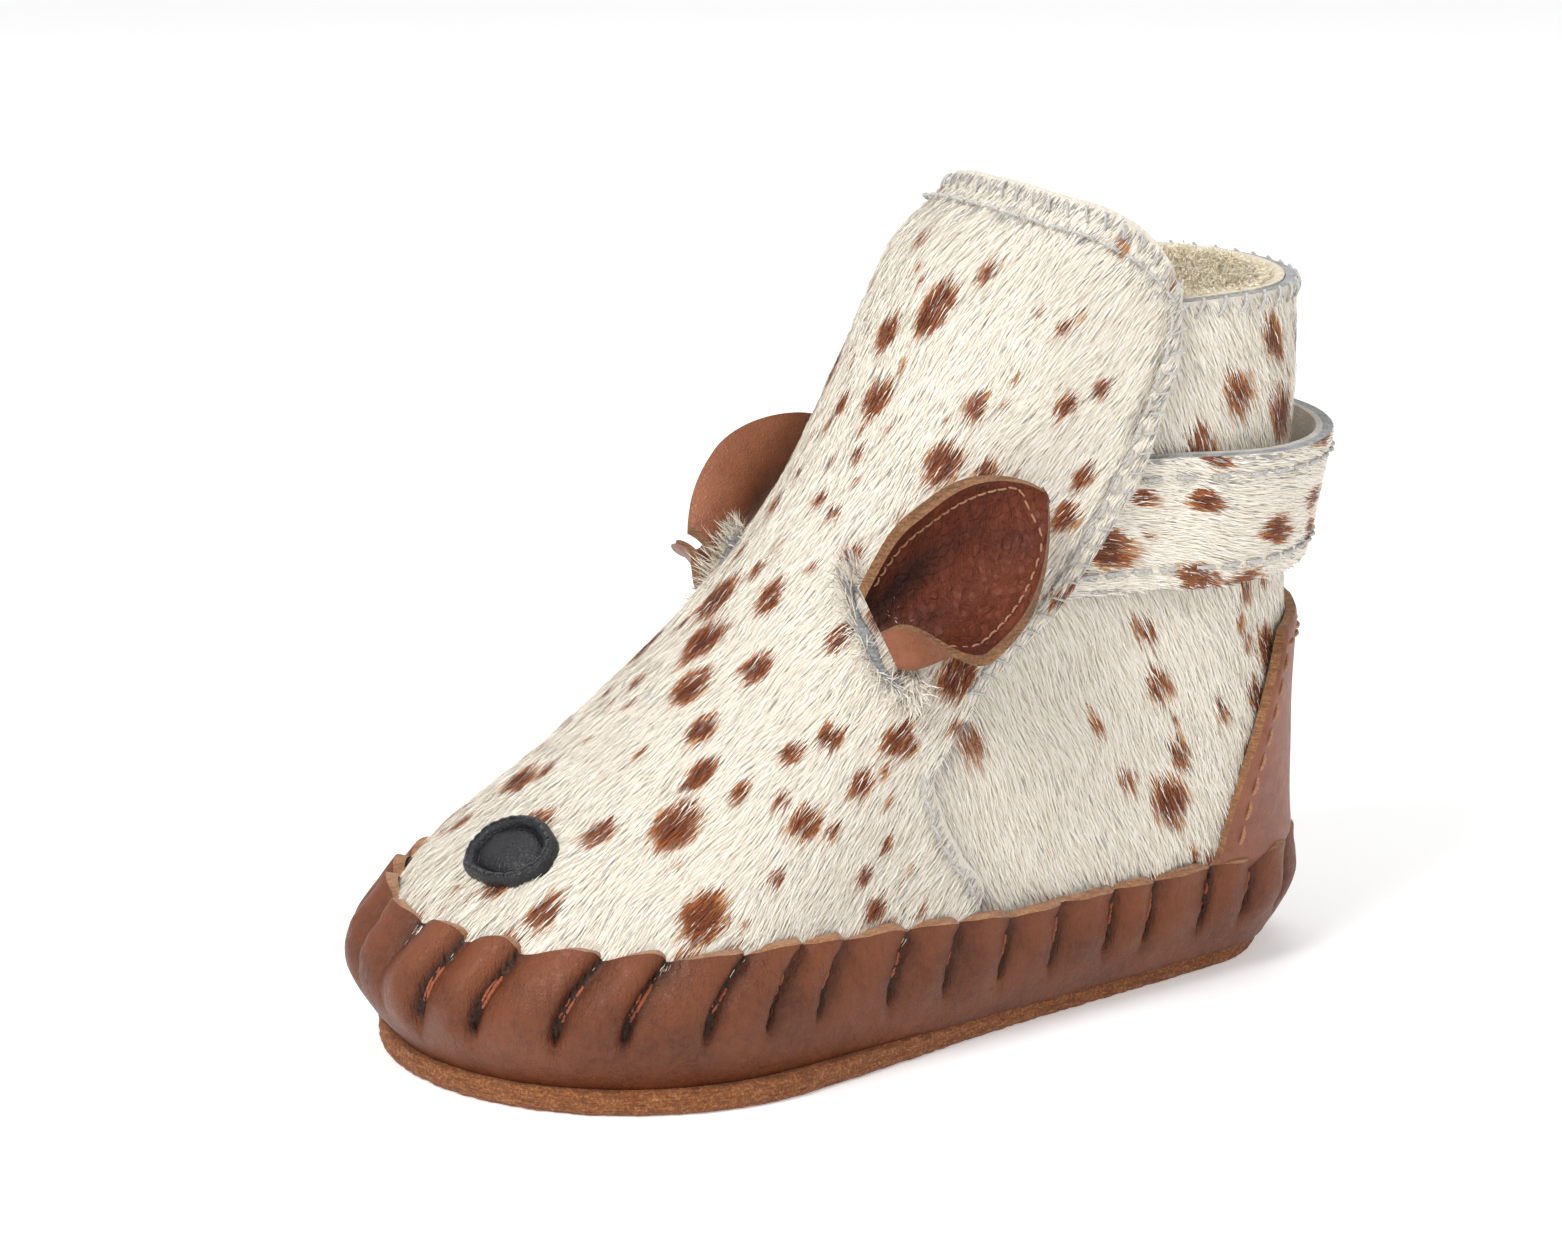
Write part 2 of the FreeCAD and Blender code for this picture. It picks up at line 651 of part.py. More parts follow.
# ---------------------------------------------------------------- ears
def ear_axes(side):
    """Root point, slit direction, leaf direction and outward normal of the ear on this side."""
    upper, lower = place(side * 0.150, 57.0, 0), place(side * 0.272, 46.4, 0)
    slit = (lower - upper).normalize()
    out = normal(side * 0.208, 51.7)
    leaf = out.cross(slit) * side
    leaf.normalize()
    out = slit.cross(leaf) * side
    out.normalize()
    root = (upper + lower) / 2 + out * 1.0
    return root, slit, leaf, out


def ear_point(side, s, r, depth):
    """A point of the leaf: s from root to tip, r from -1 to 1 across it, depth through it."""
    root, slit, leaf, out = ear_axes(side)
    lift = math.radians(size("ear_lift"))
    belly = size("ear_width") / 2 * math.sin(math.pi * min(1.0, 0.16 + 0.80 * s)) ** 0.75
    half = max(size("ear_root") / 2 * (1 - s) ** 2, belly)
    half = max(half * (1 - ease(s, 0.72, 1.0) * 0.55), 0.9)
    curl = 3.6 * (1 - 0.45 * s) * abs(r) ** 2.2 * (1.2 if r < 0 else 0.8)
    length = size("ear_length") * s
    centre = root + leaf * (length * math.cos(lift)) + out * (length * math.sin(lift))
    face = leaf * -math.sin(lift) + out * math.cos(lift)
    lean = slit * (-size("ear_lean") * s * s)
    return centre + lean + slit * (r * half) + face * (curl + depth)


def ear_slab(side, low, high, across=14, along=14):
    grids = []
    for depth in (low, high):
        grid = []
        for i in range(across + 1):
            r = 2 * i / across - 1
            grid.append([ear_point(side, j / along, r, depth) for j in range(along + 1)])
        grids.append(grid)
    return slab(grids[0], grids[1])


def build_ears():
    leather, radius = size("ear_leather"), size("thread") * 0.4
    for name, side in (("ear_lateral", 1), ("ear_medial", -1)):
        add_shape(name + "_outer", ear_slab(side, 0, leather))
        add_shape(name + "_inner", ear_slab(side, leather + 0.05, 2 * leather + 0.05))

        def edge(f):
            if f < 0.45:
                s, r = 0.06 + 0.84 * f / 0.45, -0.80
            elif f < 0.55:
                s, r = 0.90, -0.80 + 1.60 * (f - 0.45) / 0.10
            else:
                s, r = 0.06 + 0.84 * (1 - f) / 0.45, 0.80
            return ear_point(side, s, r, 2 * leather + 0.05 + radius + 0.12)
        add_shape(name + "_stitches", stitch_row(along_path(edge, 2.6), 1.5, radius))


# ---------------------------------------------------------------- build, test and export
build_sole()
build_cup()
build_cup_stitches()
build_upper()
build_upper_stitches()
build_strap()
build_nose()
build_ears()
doc.recompute()

for item in doc.Objects:
    for state in ("Invalid", "Error"):
        if state in item.State:
            raise RuntimeError(f"{item.Label} is {state}")
nodes = [item for item in doc.Objects
         if item.TypeId == "PartDesign::Body" or item.TypeId == "Part::Feature"]
for item in nodes:
    shape = item.Shape
    if shape.isNull() or not shape.isValid() or shape.Volume <= 0:
        raise RuntimeError(f"{item.Label} has no valid solid")
for item in nodes:
    item.Shape.exportStep(f"parts/{item.Label}.step")
    box = item.Shape.BoundBox
    print(f"{item.Label}: {len(item.Shape.Solids)} solids, {item.Shape.Volume:.0f} mm3, "
          f"x {box.XMin:.1f} {box.XMax:.1f} y {box.YMin:.1f} {box.YMax:.1f} "
          f"z {box.ZMin:.1f} {box.ZMax:.1f}")
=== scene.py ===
import math

import bpy
import numpy as np
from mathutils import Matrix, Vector, noise


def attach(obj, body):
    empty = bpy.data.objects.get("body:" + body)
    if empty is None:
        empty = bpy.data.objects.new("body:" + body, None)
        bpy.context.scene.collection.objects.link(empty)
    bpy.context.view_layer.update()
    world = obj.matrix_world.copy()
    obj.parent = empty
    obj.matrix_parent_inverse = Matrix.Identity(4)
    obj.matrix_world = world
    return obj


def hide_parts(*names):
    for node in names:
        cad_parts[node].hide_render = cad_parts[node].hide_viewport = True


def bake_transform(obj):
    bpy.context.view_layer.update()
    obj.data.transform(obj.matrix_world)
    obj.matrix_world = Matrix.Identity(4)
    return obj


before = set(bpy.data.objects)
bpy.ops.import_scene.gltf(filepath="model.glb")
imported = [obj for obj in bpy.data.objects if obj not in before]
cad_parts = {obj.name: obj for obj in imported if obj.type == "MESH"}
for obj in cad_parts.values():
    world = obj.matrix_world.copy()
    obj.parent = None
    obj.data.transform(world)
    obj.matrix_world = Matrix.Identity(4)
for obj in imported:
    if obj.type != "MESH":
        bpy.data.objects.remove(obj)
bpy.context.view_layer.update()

# The looks of a baby bootie. Shapes are worked out in millimetres on the same loft of level
# rings as the CAD model, then put in the frame in metres. A place on the upper is
# (turn, height, depth): turn is 0 at the toe or instep, 1 at the heel, and goes on to 2 along
# the inner side; depth is measured along the outward normal.

MM = 0.001
HOME = np.array([1.5, 4.1, 0.0])
VIEW_TURN = 57.5      # camera's azimuth round the bootie, degrees
rng = np.random.default_rng(27)


# ---------------------------------------------------------------- the loft of rings
RING_NAMES = ("front", "front_radius", "back", "back_radius", "shift")
RING_HEIGHTS = (3, 12, 22, 35, 50, 65, 80, 92, 108)
RINGS = [
    (-65.0, 29.5, 56.5, 18.5, -1.5),
    (-69.0, 31.0, 59.0, 20.5, -1.5),
    (-62.0, 29.5, 58.0, 21.5, -1.0),
    (-44.0, 26.0, 57.5, 22.5, 0.0),
    (-25.0, 22.0, 57.5, 23.5, 0.0),
    (-11.0, 20.5, 57.5, 24.0, 0.0),
    (-2.0, 21.0, 58.0, 25.0, 0.0),
    (5.0, 22.5, 58.5, 25.0, 0.0),
    (17.0, 21.0, 74.0, 23.0, 0.0),
]


def smooth_table(xs, ys):
    """A monotone cubic through the points (xs, ys), for numbers or arrays."""
    xs, ys = np.array(xs, float), np.array(ys, float)
    gaps = np.diff(xs)
    slopes = np.diff(ys) / gaps
    tangents = np.zeros(len(xs))
    tangents[0], tangents[-1] = slopes[0], slopes[-1]
    for k in range(1, len(xs) - 1):
        left, right = slopes[k - 1], slopes[k]
        if left * right > 0:
            w0, w1 = 2 * gaps[k] + gaps[k - 1], gaps[k] + 2 * gaps[k - 1]
            tangents[k] = (w0 + w1) / (w0 / left + w1 / right)

    def at(x):
        x = np.clip(x, xs[0], xs[-1])
        k = np.clip(np.searchsorted(xs, x, side="right") - 1, 0, len(gaps) - 1)
        f = (x - xs[k]) / gaps[k]
        return (ys[k] * (1 + 2 * f) * (1 - f) ** 2 + ys[k + 1] * f * f * (3 - 2 * f)
                + gaps[k] * (tangents[k] * f * (1 - f) ** 2 - tangents[k + 1] * f * f * (1 - f)))
    return at


ring_at = {name: smooth_table(RING_HEIGHTS, column)
           for name, column in zip(RING_NAMES, zip(*RINGS))}


def ease(x, low, high):
    f = np.clip((x - low) / (high - low), 0.0, 1.0)
    return f * f * (3 - 2 * f)


def bump_between(x, low, high, soft):
    """1 between low and high, easing to 0 over soft outside them."""
    return ease(x, low - soft, low) * (1 - ease(x, high, high + soft))


def round_two(turn, shift, front, r1, back, r2):
    """Plan points on the outline round two circles; turn 0 to 1 on +X and 1 to 2 on -X."""
    turn = np.asarray(turn, float)
    side = np.where((turn < 0) | (turn > 1), -1.0, 1.0)
    part = np.where(turn < 0, -turn, np.where(turn > 1, 2 - turn, turn))
    ax, ay, by = side * shift, front + r1, back - r2
    reach = np.hypot(ax, ay - by)
    contact = np.arctan2(ax, by - ay) + np.arccos((r2 - r1) / reach)
    straight = np.sqrt(reach ** 2 - (r2 - r1) ** 2)
    run = part * (r1 * contact + straight + r2 * (math.pi - contact))
    a1 = run / r1
    along = run - r1 * contact
    a2 = contact + (along - straight) / r2
    x = np.where(along < 0, ax + r1 * np.sin(a1), np.where(
        along < straight, ax + r1 * np.sin(contact) + along * np.cos(contact), r2 * np.sin(a2)))
    y = np.where(along < 0, ay - r1 * np.cos(a1), np.where(
        along < straight, ay - r1 * np.cos(contact) + along * np.sin(contact),
        by - r2 * np.cos(a2)))
    return side * x, y


def on_ring(turn, height):
    turn, height = np.broadcast_arrays(np.asarray(turn, float), np.asarray(height, float))
    x, y = round_two(turn, ring_at["shift"](height), ring_at["front"](height),
                     ring_at["front_radius"](height), ring_at["back"](height),
                     ring_at["back_radius"](height))
    return np.stack([x, y, height], -1)


def unit(v):
    return v / np.linalg.norm(v, axis=-1, keepdims=True)


def frame_at(turn, height):
    """Unit vectors on the loft: round (towards larger turn), up along the surface, and outward."""
    around = on_ring(np.add(turn, 0.004), height) - on_ring(np.subtract(turn, 0.004), height)
    up = on_ring(turn, np.add(height, 0.4)) - on_ring(turn, np.subtract(height, 0.4))
    out = unit(np.cross(around, up))
    around = unit(around)
    return around, np.cross(out, around), out


def frame_on(surface, u, v):
    """Unit vectors on surface(u, v) = points: along u, along v at right angles to it, and out."""
    step = 0.003
    along_u = surface(u + step, v) - surface(u - step, v)
    along_v = surface(u, np.minimum(v + step, 1)) - surface(u, np.minimum(v + step, 1) - 2 * step)
    out = unit(np.cross(along_u, along_v))
    along_u = unit(along_u)
    return along_u, np.cross(out, along_u), out


def place(turn, height, depth):
    return on_ring(turn, height) + frame_at(turn, height)[2] * np.asarray(depth)[..., None]


def lumps(points, cell, seed=0.0):
    """Smooth noise, about -1 to 1, whose bumps are about cell millimetres wide."""
    flat = np.asarray(points).reshape(-1, 3) / cell + seed
    values = np.array([noise.noise(Vector(p)) for p in flat])
    return values.reshape(np.shape(points)[:-1])


# ---------------------------------------------------------------- outlines of the panels
edge_turn = smooth_table(
    [8, 19, 25, 31, 36, 44, 50, 60, 70, 82, 92],
    [0.53, 0.528, 0.482, 0.422, 0.384, 0.386, 0.412, 0.444, 0.468, 0.478, 0.458])
quarter_turn = smooth_table([8, 20, 36, 60, 88], [0.47, 0.44, 0.29, 0.27, 0.30])
PANEL_FOOT, TONGUE_TOP, TONGUE_CORNER, COLLAR = 8.0, 105.0, 91.0, 89.5
HIDE, LINING, QUARTER_DEPTH = 1.5, 1.5, 1.9
LINING_FOOT = PANEL_FOOT - 1.5
SKIN_BELOW = 0.15     # the skin lies this far below the hide's outer face, under its fur
LAYER_GAP = 0.1       # between one layer and the next


def front_place(u, v):
    """Turn and height on the hide of the vamp and tongue; u across, v up, both 0 to 1."""
    across = 2 * u - 1
    crown = 1.2 * ease(np.abs(across), 0.05, 0.45) * (1 - ease(np.abs(across), 0.6, 0.95))
    top = TONGUE_TOP - crown - (TONGUE_TOP - TONGUE_CORNER) * np.abs(across) ** 3.4
    side = PANEL_FOOT + v * (TONGUE_CORNER - PANEL_FOOT)
    return across * edge_turn(side), PANEL_FOOT + v * (top - PANEL_FOOT)


def front_lift(u, v, turn, height):
    """The tongue's wing stands off a little where it crosses the strap and along its edge."""
    across = np.abs(2 * u - 1)
    over_strap = bump_between(height, 55, 70, 8)
    wing = ease(height, 46, 60)
    roll = 2.6 * ease(v, 0.86, 1.0) ** 2 * (1 - 0.5 * across)
    groove = 0.45 * wing * np.exp(-((across - 0.942) / 0.011) ** 2)
    return (1.5 * ease(across, 0.86, 1.0) * over_strap + 0.4 * wing * ease(across, 0.8, 1.0)
            - roll - groove)


def round_quarter(u, height, inset=0.0):
    """The turn at share u of the way round the quarter, or round its lining a little inside it."""
    front = quarter_turn(height) + inset
    return front + u * (2 - 2 * front)


def quarter_place(u, v):
    height = PANEL_FOOT + v * (COLLAR - PANEL_FOOT)
    return round_quarter(u, height), height


def quarter_outer(turn):
    around = np.where(turn <= 1, turn, 2 - turn)
    return -QUARTER_DEPTH * (1 - ease(around, 0.5, 0.75))


STRAP_LOW, STRAP_HIGH, STRAP_TIP = 54.0, 70.5, 0.37
STRAP_LINING, STRAP_HIDE = 0.8, 1.4


def strap_place(u, v):
    height = STRAP_LOW + v * (STRAP_HIGH - STRAP_LOW)
    first = edge_turn(height) - 0.02
    last = 2 - STRAP_TIP - 0.03 * np.abs(2 * v - 1) ** 3
    return first + u * (last - first), height


def strap_base(turn, height):
    free = 0.75 + 2.5 * ease(turn, 1.3, 1.55)
    sewn = -QUARTER_DEPTH + 0.35 + 2.3 * ease(turn, 0.5, 0.70)
    under_wing = -0.5 * (1 - ease(turn, 0.46, 0.50))
    return np.where(turn <= 1, sewn + under_wing, free)


def strap_stand(turn, v):
    return (2.9 * ease(turn, 0.52, 0.8) - 2.9 * ease(turn, 1.2, 1.5)) * v


# ---------------------------------------------------------------- meshes
def to_world(points):
    return (np.asarray(points, float).reshape(-1, 3) + HOME) * MM


def new_mesh(name, points, materials, quads, triangles=(), quad_kind=0, triangle_kind=0,
             sharp=None):
    """A mesh object from points in loft millimetres and faces as index arrays."""
    triangles = np.asarray(triangles, int).reshape(-1, 3)
    mesh = bpy.data.meshes.new(name)
    points = to_world(points)
    mesh.vertices.add(len(points))
    mesh.vertices.foreach_set("co", points.astype(np.float32).ravel())
    loops = np.concatenate([quads.ravel(), triangles.ravel()]).astype(np.int32)
    sizes = np.concatenate([np.full(len(quads), 4), np.full(len(triangles), 3)])
    starts = np.concatenate([[0], np.cumsum(sizes)[:-1]]).astype(np.int32)
    mesh.loops.add(len(loops))
    mesh.loops.foreach_set("vertex_index", loops)
    mesh.polygons.add(len(sizes))
    mesh.polygons.foreach_set("loop_start", starts)
    kinds = np.concatenate([np.full(len(quads), quad_kind), np.full(len(triangles), triangle_kind)])
    mesh.polygons.foreach_set("material_index", kinds.astype(np.int32))
    mesh.polygons.foreach_set("use_smooth", np.ones(len(sizes), bool))
    mesh.update(calc_edges=True)
    mesh.validate()
    if sharp is not None:
        mesh.set_sharp_from_angle(angle=math.radians(sharp))
    for one in materials:
        mesh.materials.append(one)
    piece = bpy.data.objects.new(name, mesh)
    bpy.context.scene.collection.objects.link(piece)
    return piece


def grid_faces(rows, columns, start=0, close_rows=False, close_columns=False):
    """Quads of a grid of rows x columns points stored row by row."""
    i = np.arange(rows if close_rows else rows - 1)
    j = np.arange(columns if close_columns else columns - 1)
    i, j = np.meshgrid(i, j, indexing="ij")
    a = i * columns + j
    b = i * columns + (j + 1) % columns
    c = ((i + 1) % rows) * columns + (j + 1) % columns
    d = ((i + 1) % rows) * columns + j
    return start + np.stack([a, b, c, d], -1).reshape(-1, 4)


def shell(name, inner, outer, materials, sharp=40):
    """A closed sheet between two grids of points. Materials: outer face, cut edge, inner face."""
    rows, columns = outer.shape[:2]
    count = rows * columns
    quads_out = grid_faces(rows, columns, count)
    quads_in = grid_faces(rows, columns)[:, ::-1]
    border = np.concatenate([
        np.arange(columns), np.arange(1, rows) * columns + columns - 1,
        (rows - 1) * columns + np.arange(columns - 2, -1, -1),
        np.arange(rows - 2, 0, -1) * columns])
    after = np.roll(border, -1)
    rim = np.stack([border, after, after + count, border + count], -1)
    flip = np.cross(outer[1, 0] - outer[0, 0], outer[0, 1] - outer[0, 0])
    if np.dot(flip, outer[0, 0] - inner[0, 0]) > 0:
        quads_out, quads_in, rim = quads_out[:, ::-1], quads_in[:, ::-1], rim[:, ::-1]
    kinds = np.repeat([0, 1, 2], [len(quads_out), len(rim), len(quads_in)])
    points = np.concatenate([inner.reshape(-1, 3), outer.reshape(-1, 3)])
    return new_mesh(name, points, materials, np.concatenate([quads_out, rim, quads_in]),
                    quad_kind=np.minimum(kinds, len(materials) - 1), sharp=sharp)


def capped_rings(name, rings, middles, materials, kinds=0, sharp=None, turned=False):
    """A closed body from rings of points, with a fan round a middle point at either end."""
    steps, count = len(rings[0]), len(rings) * len(rings[0])
    last = count - steps
    ring = np.arange(steps)
    after = (ring + 1) % steps
    quads = grid_faces(len(rings), steps, close_columns=True)
    caps = np.concatenate([
        np.stack([np.full(steps, count), after, ring], -1),
        np.stack([np.full(steps, count + 1), last + ring, last + after], -1)])
    if turned:
        quads, caps = quads[:, ::-1], caps[:, ::-1]
    return new_mesh(name, np.concatenate([*rings, middles]), materials, quads, caps, kinds,
                    sharp=sharp)


def blades(name, roots, middles, tips, half, taper, materials, kinds):
    """Flat tapered blades, a quad and a triangle each; half is half a width, as a vector."""
    points = np.stack([roots - half, roots + half, middles + half * taper, middles - half * taper,
                       tips], 1)
    base = np.arange(len(roots))[:, None] * 5
    return new_mesh(name, points.reshape(-1, 3), materials, base + np.array([0, 1, 2, 3]),
                    base + np.array([3, 2, 4]), kinds, kinds)


def unit_grid(rows, columns):
    return np.meshgrid(np.linspace(0, 1, rows), np.linspace(0, 1, columns), indexing="ij")


def at_height(plan, height):
    """Points of a plan (x, y) at one height or at a height each."""
    return np.concatenate([plan, np.broadcast_to(height, plan.shape[:-1])[..., None]], -1)


def paint(piece, name, *parts):
    """A value at each point of a piece, from its parts one after the other."""
    layer = piece.data.attributes.new(name, "FLOAT", "POINT")
    layer.data.foreach_set("value", np.concatenate([np.ravel(part) for part in parts])
                           .astype(np.float32))


def finish_piece(piece, slot, nodes, body=None, across=None):
    """Hide the CAD nodes that a piece stands for, and let it ride on its body's empty, or bake its
    place into its points when across is given; slot is not used.
    """
    if nodes:
        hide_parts(*nodes)
    if across is None:
        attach(piece, body)
    else:
        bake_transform(piece)


CREASE_WAY = np.array([0.0, 0.407, 0.913])   # the vamp turns into the tongue along this direction
STRAP_HINGE = np.array([28.37, 42.73, 61.9])
STRAP_WAY = np.array([-0.8, 0.6, 0.0])       # from the strap's sewn part to its free part

FRONT_BEND = {"from": "shoe", "to": "tongue", "start": tuple(CREASE_WAY * 33.0 * MM),
              "end": tuple(CREASE_WAY * 42.5 * MM)}
STRAP_BEND = {"from": "shoe", "to": "strap", "start": tuple((STRAP_HINGE - 4 * STRAP_WAY) * MM),
              "end": tuple((STRAP_HINGE + 4 * STRAP_WAY) * MM)}


# ---------------------------------------------------------------- materials
class Recipe:
    """A material built from nodes, with short calls for the nodes used here."""

    def __init__(self, name, rough=0.5, **fixed):
        self.material = bpy.data.materials.new(name)
        self.material.use_nodes = True
        self.tree = self.material.node_tree
        self.shader = self.tree.nodes["Principled BSDF"]
        self.shader.inputs["Roughness"].default_value = rough
        for socket, value in fixed.items():
            self.shader.inputs[socket.replace("_", " ")].default_value = value
        self.where = self.node("ShaderNodeTexCoord").outputs["Object"]

    def node(self, kind, **settings):
        made = self.tree.nodes.new(kind)
        for key, value in settings.items():
            setattr(made, key, value)
        return made

    def link(self, source, target):
        self.tree.links.new(source, target)

    def stretch(self, scale, turn=(0, 0, 0)):
        mapping = self.node("ShaderNodeMapping")
        mapping.inputs["Scale"].default_value = scale
        mapping.inputs["Rotation"].default_value = turn
        self.link(self.where, mapping.inputs["Vector"])
        return mapping.outputs[0]

    def noise(self, per_mm, detail=3.0, rough=0.55, where=None):
        made = self.node("ShaderNodeTexNoise")
        made.inputs["Scale"].default_value = per_mm / MM
        made.inputs["Detail"].default_value = detail
        made.inputs["Roughness"].default_value = rough
        self.link(where or self.where, made.inputs["Vector"])
        return made.outputs["Fac"]

    def cells(self, per_mm, feature="DISTANCE_TO_EDGE"):
        made = self.node("ShaderNodeTexVoronoi", feature=feature)
        made.inputs["Scale"].default_value = per_mm / MM
        self.link(self.where, made.inputs["Vector"])
        return made.outputs["Distance"]

    def attribute(self, name):
        return self.node("ShaderNodeAttribute", attribute_name=name).outputs["Fac"]

    def ramp(self, source, stops):
        made = self.node("ShaderNodeValToRGB")
        elements = made.color_ramp.elements
        while len(elements) < len(stops):
            elements.new(0.5)
        for element, (position, value) in zip(elements, stops):
            element.position = position
            element.color = (*value, 1) if hasattr(value, "__len__") else (value,) * 3 + (1,)
        self.link(source, made.inputs[0])
        return made.outputs[0]

    def mix(self, share, one, two):
        """Between two colours, each of them a socket or (r, g, b)."""
        made = self.node("ShaderNodeMix", data_type="RGBA")
        self.link(share, made.inputs[0])
        for socket, value in ((made.inputs[6], one), (made.inputs[7], two)):
            if hasattr(value, "is_linked"):
                self.link(value, socket)
            else:
                socket.default_value = (*value, 1)
        return made.outputs[2]

    def colour(self, source):
        self.link(source, self.shader.inputs["Base Color"])

    def roughness(self, source):
        self.link(source, self.shader.inputs["Roughness"])

    def bump(self, source, height_mm):
        made = self.node("ShaderNodeBump")
        made.inputs["Distance"].default_value = height_mm * MM
        made.inputs["Strength"].default_value = 1.0
        self.link(source, made.inputs["Height"])
        before = self.shader.inputs["Normal"]
        if before.is_linked:
            self.link(before.links[0].from_socket, made.inputs["Normal"])
        self.link(made.outputs[0], before)


def leather(name, dark, mid, light, rough=0.42, grain=1.9, grain_height=0.05, wrinkle=0.0,
            painted_crease_shade=False, shine=0.42):
    """Smooth or pebbled leather: clouded colour, fine grain, wrinkles, painted shade in creases and
    a painted highlight with wear on raised parts.
    """
    recipe = Recipe(name, rough, Specular_IOR_Level=shine, Coat_Weight=0.03, Coat_Roughness=0.35)
    clouds = recipe.noise(0.09, 4, 0.6)
    fine = recipe.noise(1.1, 4, 0.65)
    tone = recipe.ramp(clouds, [(0.30, dark), (0.52, mid), (0.74, light)])
    tone = recipe.mix(recipe.ramp(fine, [(0.35, 0.0), (0.75, 0.55)]), tone, light)
    stains = recipe.noise(0.55, 5, 0.7)
    tone = recipe.mix(recipe.ramp(stains, [(0.28, 0.5), (0.45, 0.0)]), tone, dark)
    if painted_crease_shade:
        # Painted shade: the colour darkens towards a fifth of the dark tone where the attribute
        # painted on the piece is high, in grooves and folds.
        deep = recipe.ramp(recipe.attribute("painted_crease_shade"), [(0.30, 0.0), (0.95, 0.92)])
        tone = recipe.mix(deep, tone, tuple(0.22 * part for part in dark))
        # Painted highlight with some rubbed wear: the colour lightens past the light tone where
        # this attribute is high, on raised parts.
        wear_and_painted_highlight = recipe.ramp(recipe.attribute("wear_and_painted_highlight"), [(0.2, 0.0), (1.0, 0.45)])
        tone = recipe.mix(wear_and_painted_highlight, tone, tuple(1.25 * part for part in light))
    recipe.colour(tone)
    recipe.roughness(recipe.ramp(recipe.noise(0.5, 4), [(0.3, rough - 0.07), (0.7, rough + 0.1)]))
    pores = recipe.ramp(recipe.cells(grain), [(0.0, 0.0), (0.18, 0.8), (0.5, 1.0)])
    recipe.bump(pores, grain_height)
    recipe.bump(fine, 0.07)
    if wrinkle:
        lines = recipe.noise(0.55, 5, 0.6, recipe.stretch((1, 1, 0.28), (0.4, 0.2, 0.0)))
        recipe.bump(recipe.ramp(lines, [(0.43, 1.0), (0.50, 0.0), (0.57, 1.0)]), wrinkle)
    return recipe.material


def raw_edge(name, dark, mid, light, sheen=0.25, faded=0.5):
    """The fibrous cut edge or flesh side of leather."""
    recipe = Recipe(name, 0.85, Sheen_Weight=sheen, Sheen_Roughness=0.5)
    fibres = recipe.noise(2.4, 6, 0.75)
    patches = recipe.noise(0.35, 4, 0.6)
    tone = recipe.ramp(fibres, [(0.32, dark), (0.5, mid), (0.68, light)])
    tone = recipe.mix(recipe.ramp(patches, [(0.35, 0.0), (0.75, faded)]), tone, light)
    layers = recipe.noise(1.6, 4, 0.6, recipe.stretch((0.25, 0.25, 2.6)))
    tone = recipe.mix(recipe.ramp(layers, [(0.40, 0.55), (0.55, 0.0)]), tone, dark)
    recipe.colour(tone)
    recipe.bump(fibres, 0.45)
    recipe.bump(layers, 0.3)
    return recipe.material


def hide_skin():
    """The skin and undercoat below the hairs; its spots follow the hairs' own."""
    recipe = Recipe("hide_skin", 0.7, Sheen_Weight=0.2, Sheen_Roughness=0.5)
    streaks = recipe.noise(2.2, 5, 0.7, recipe.stretch((1, 1, 0.3)))
    cream = recipe.ramp(streaks, [(0.3, (0.60, 0.53, 0.43)), (0.6, (0.80, 0.74, 0.64))])
    brown = recipe.ramp(streaks, [(0.3, (0.10, 0.028, 0.008)), (0.65, (0.27, 0.085, 0.022))])
    share = recipe.ramp(recipe.attribute("tone"), [(0.25, 0.0), (0.6, 1.0)])
    recipe.colour(recipe.mix(share, cream, brown))
    recipe.bump(streaks, 0.4)
    return recipe.material


def hair(name, colour, rough=0.48):
    """One of the hairs' colours; the pattern comes from which hairs have which colour."""
    return Recipe(name, rough, Base_Color=(*colour, 1), Specular_IOR_Level=0.35,
                  Sheen_Weight=0.15, Sheen_Roughness=0.4).material


def thread(name, dark, light):
    recipe = Recipe(name, 0.6, Sheen_Weight=0.2, Sheen_Roughness=0.5)
    fibres = recipe.noise(3.5, 5, 0.7)
    recipe.colour(recipe.ramp(fibres, [(0.3, dark), (0.68, light)]))
    recipe.bump(fibres, 0.12)
    return recipe.material


def fleece_cloth(name, dark, light):
    recipe = Recipe(name, 0.9, Sheen_Weight=0.4, Sheen_Roughness=0.6)
    curls = recipe.noise(1.1, 6, 0.7)
    tufts = recipe.cells(0.7, "F1")
    tone = recipe.ramp(curls, [(0.3, dark), (0.65, light)])
    recipe.colour(recipe.mix(recipe.ramp(tufts, [(0.0, 0.0), (0.9, 0.45)]), tone, dark))
    recipe.bump(curls, 0.9)
    recipe.bump(tufts, 0.5)
    return recipe.material


CUP_TAN = ((0.072, 0.017, 0.005), (0.126, 0.033, 0.010), (0.180, 0.052, 0.018))
SKIN = hide_skin()
HIDE_EDGE = raw_edge("hide_cut_edge", (0.16, 0.17, 0.19), (0.36, 0.38, 0.40), (0.62, 0.62, 0.60))
HIDE_BACK = raw_edge("hide_flesh_side", (0.50, 0.47, 0.43), (0.66, 0.62, 0.56), (0.78, 0.74, 0.68))
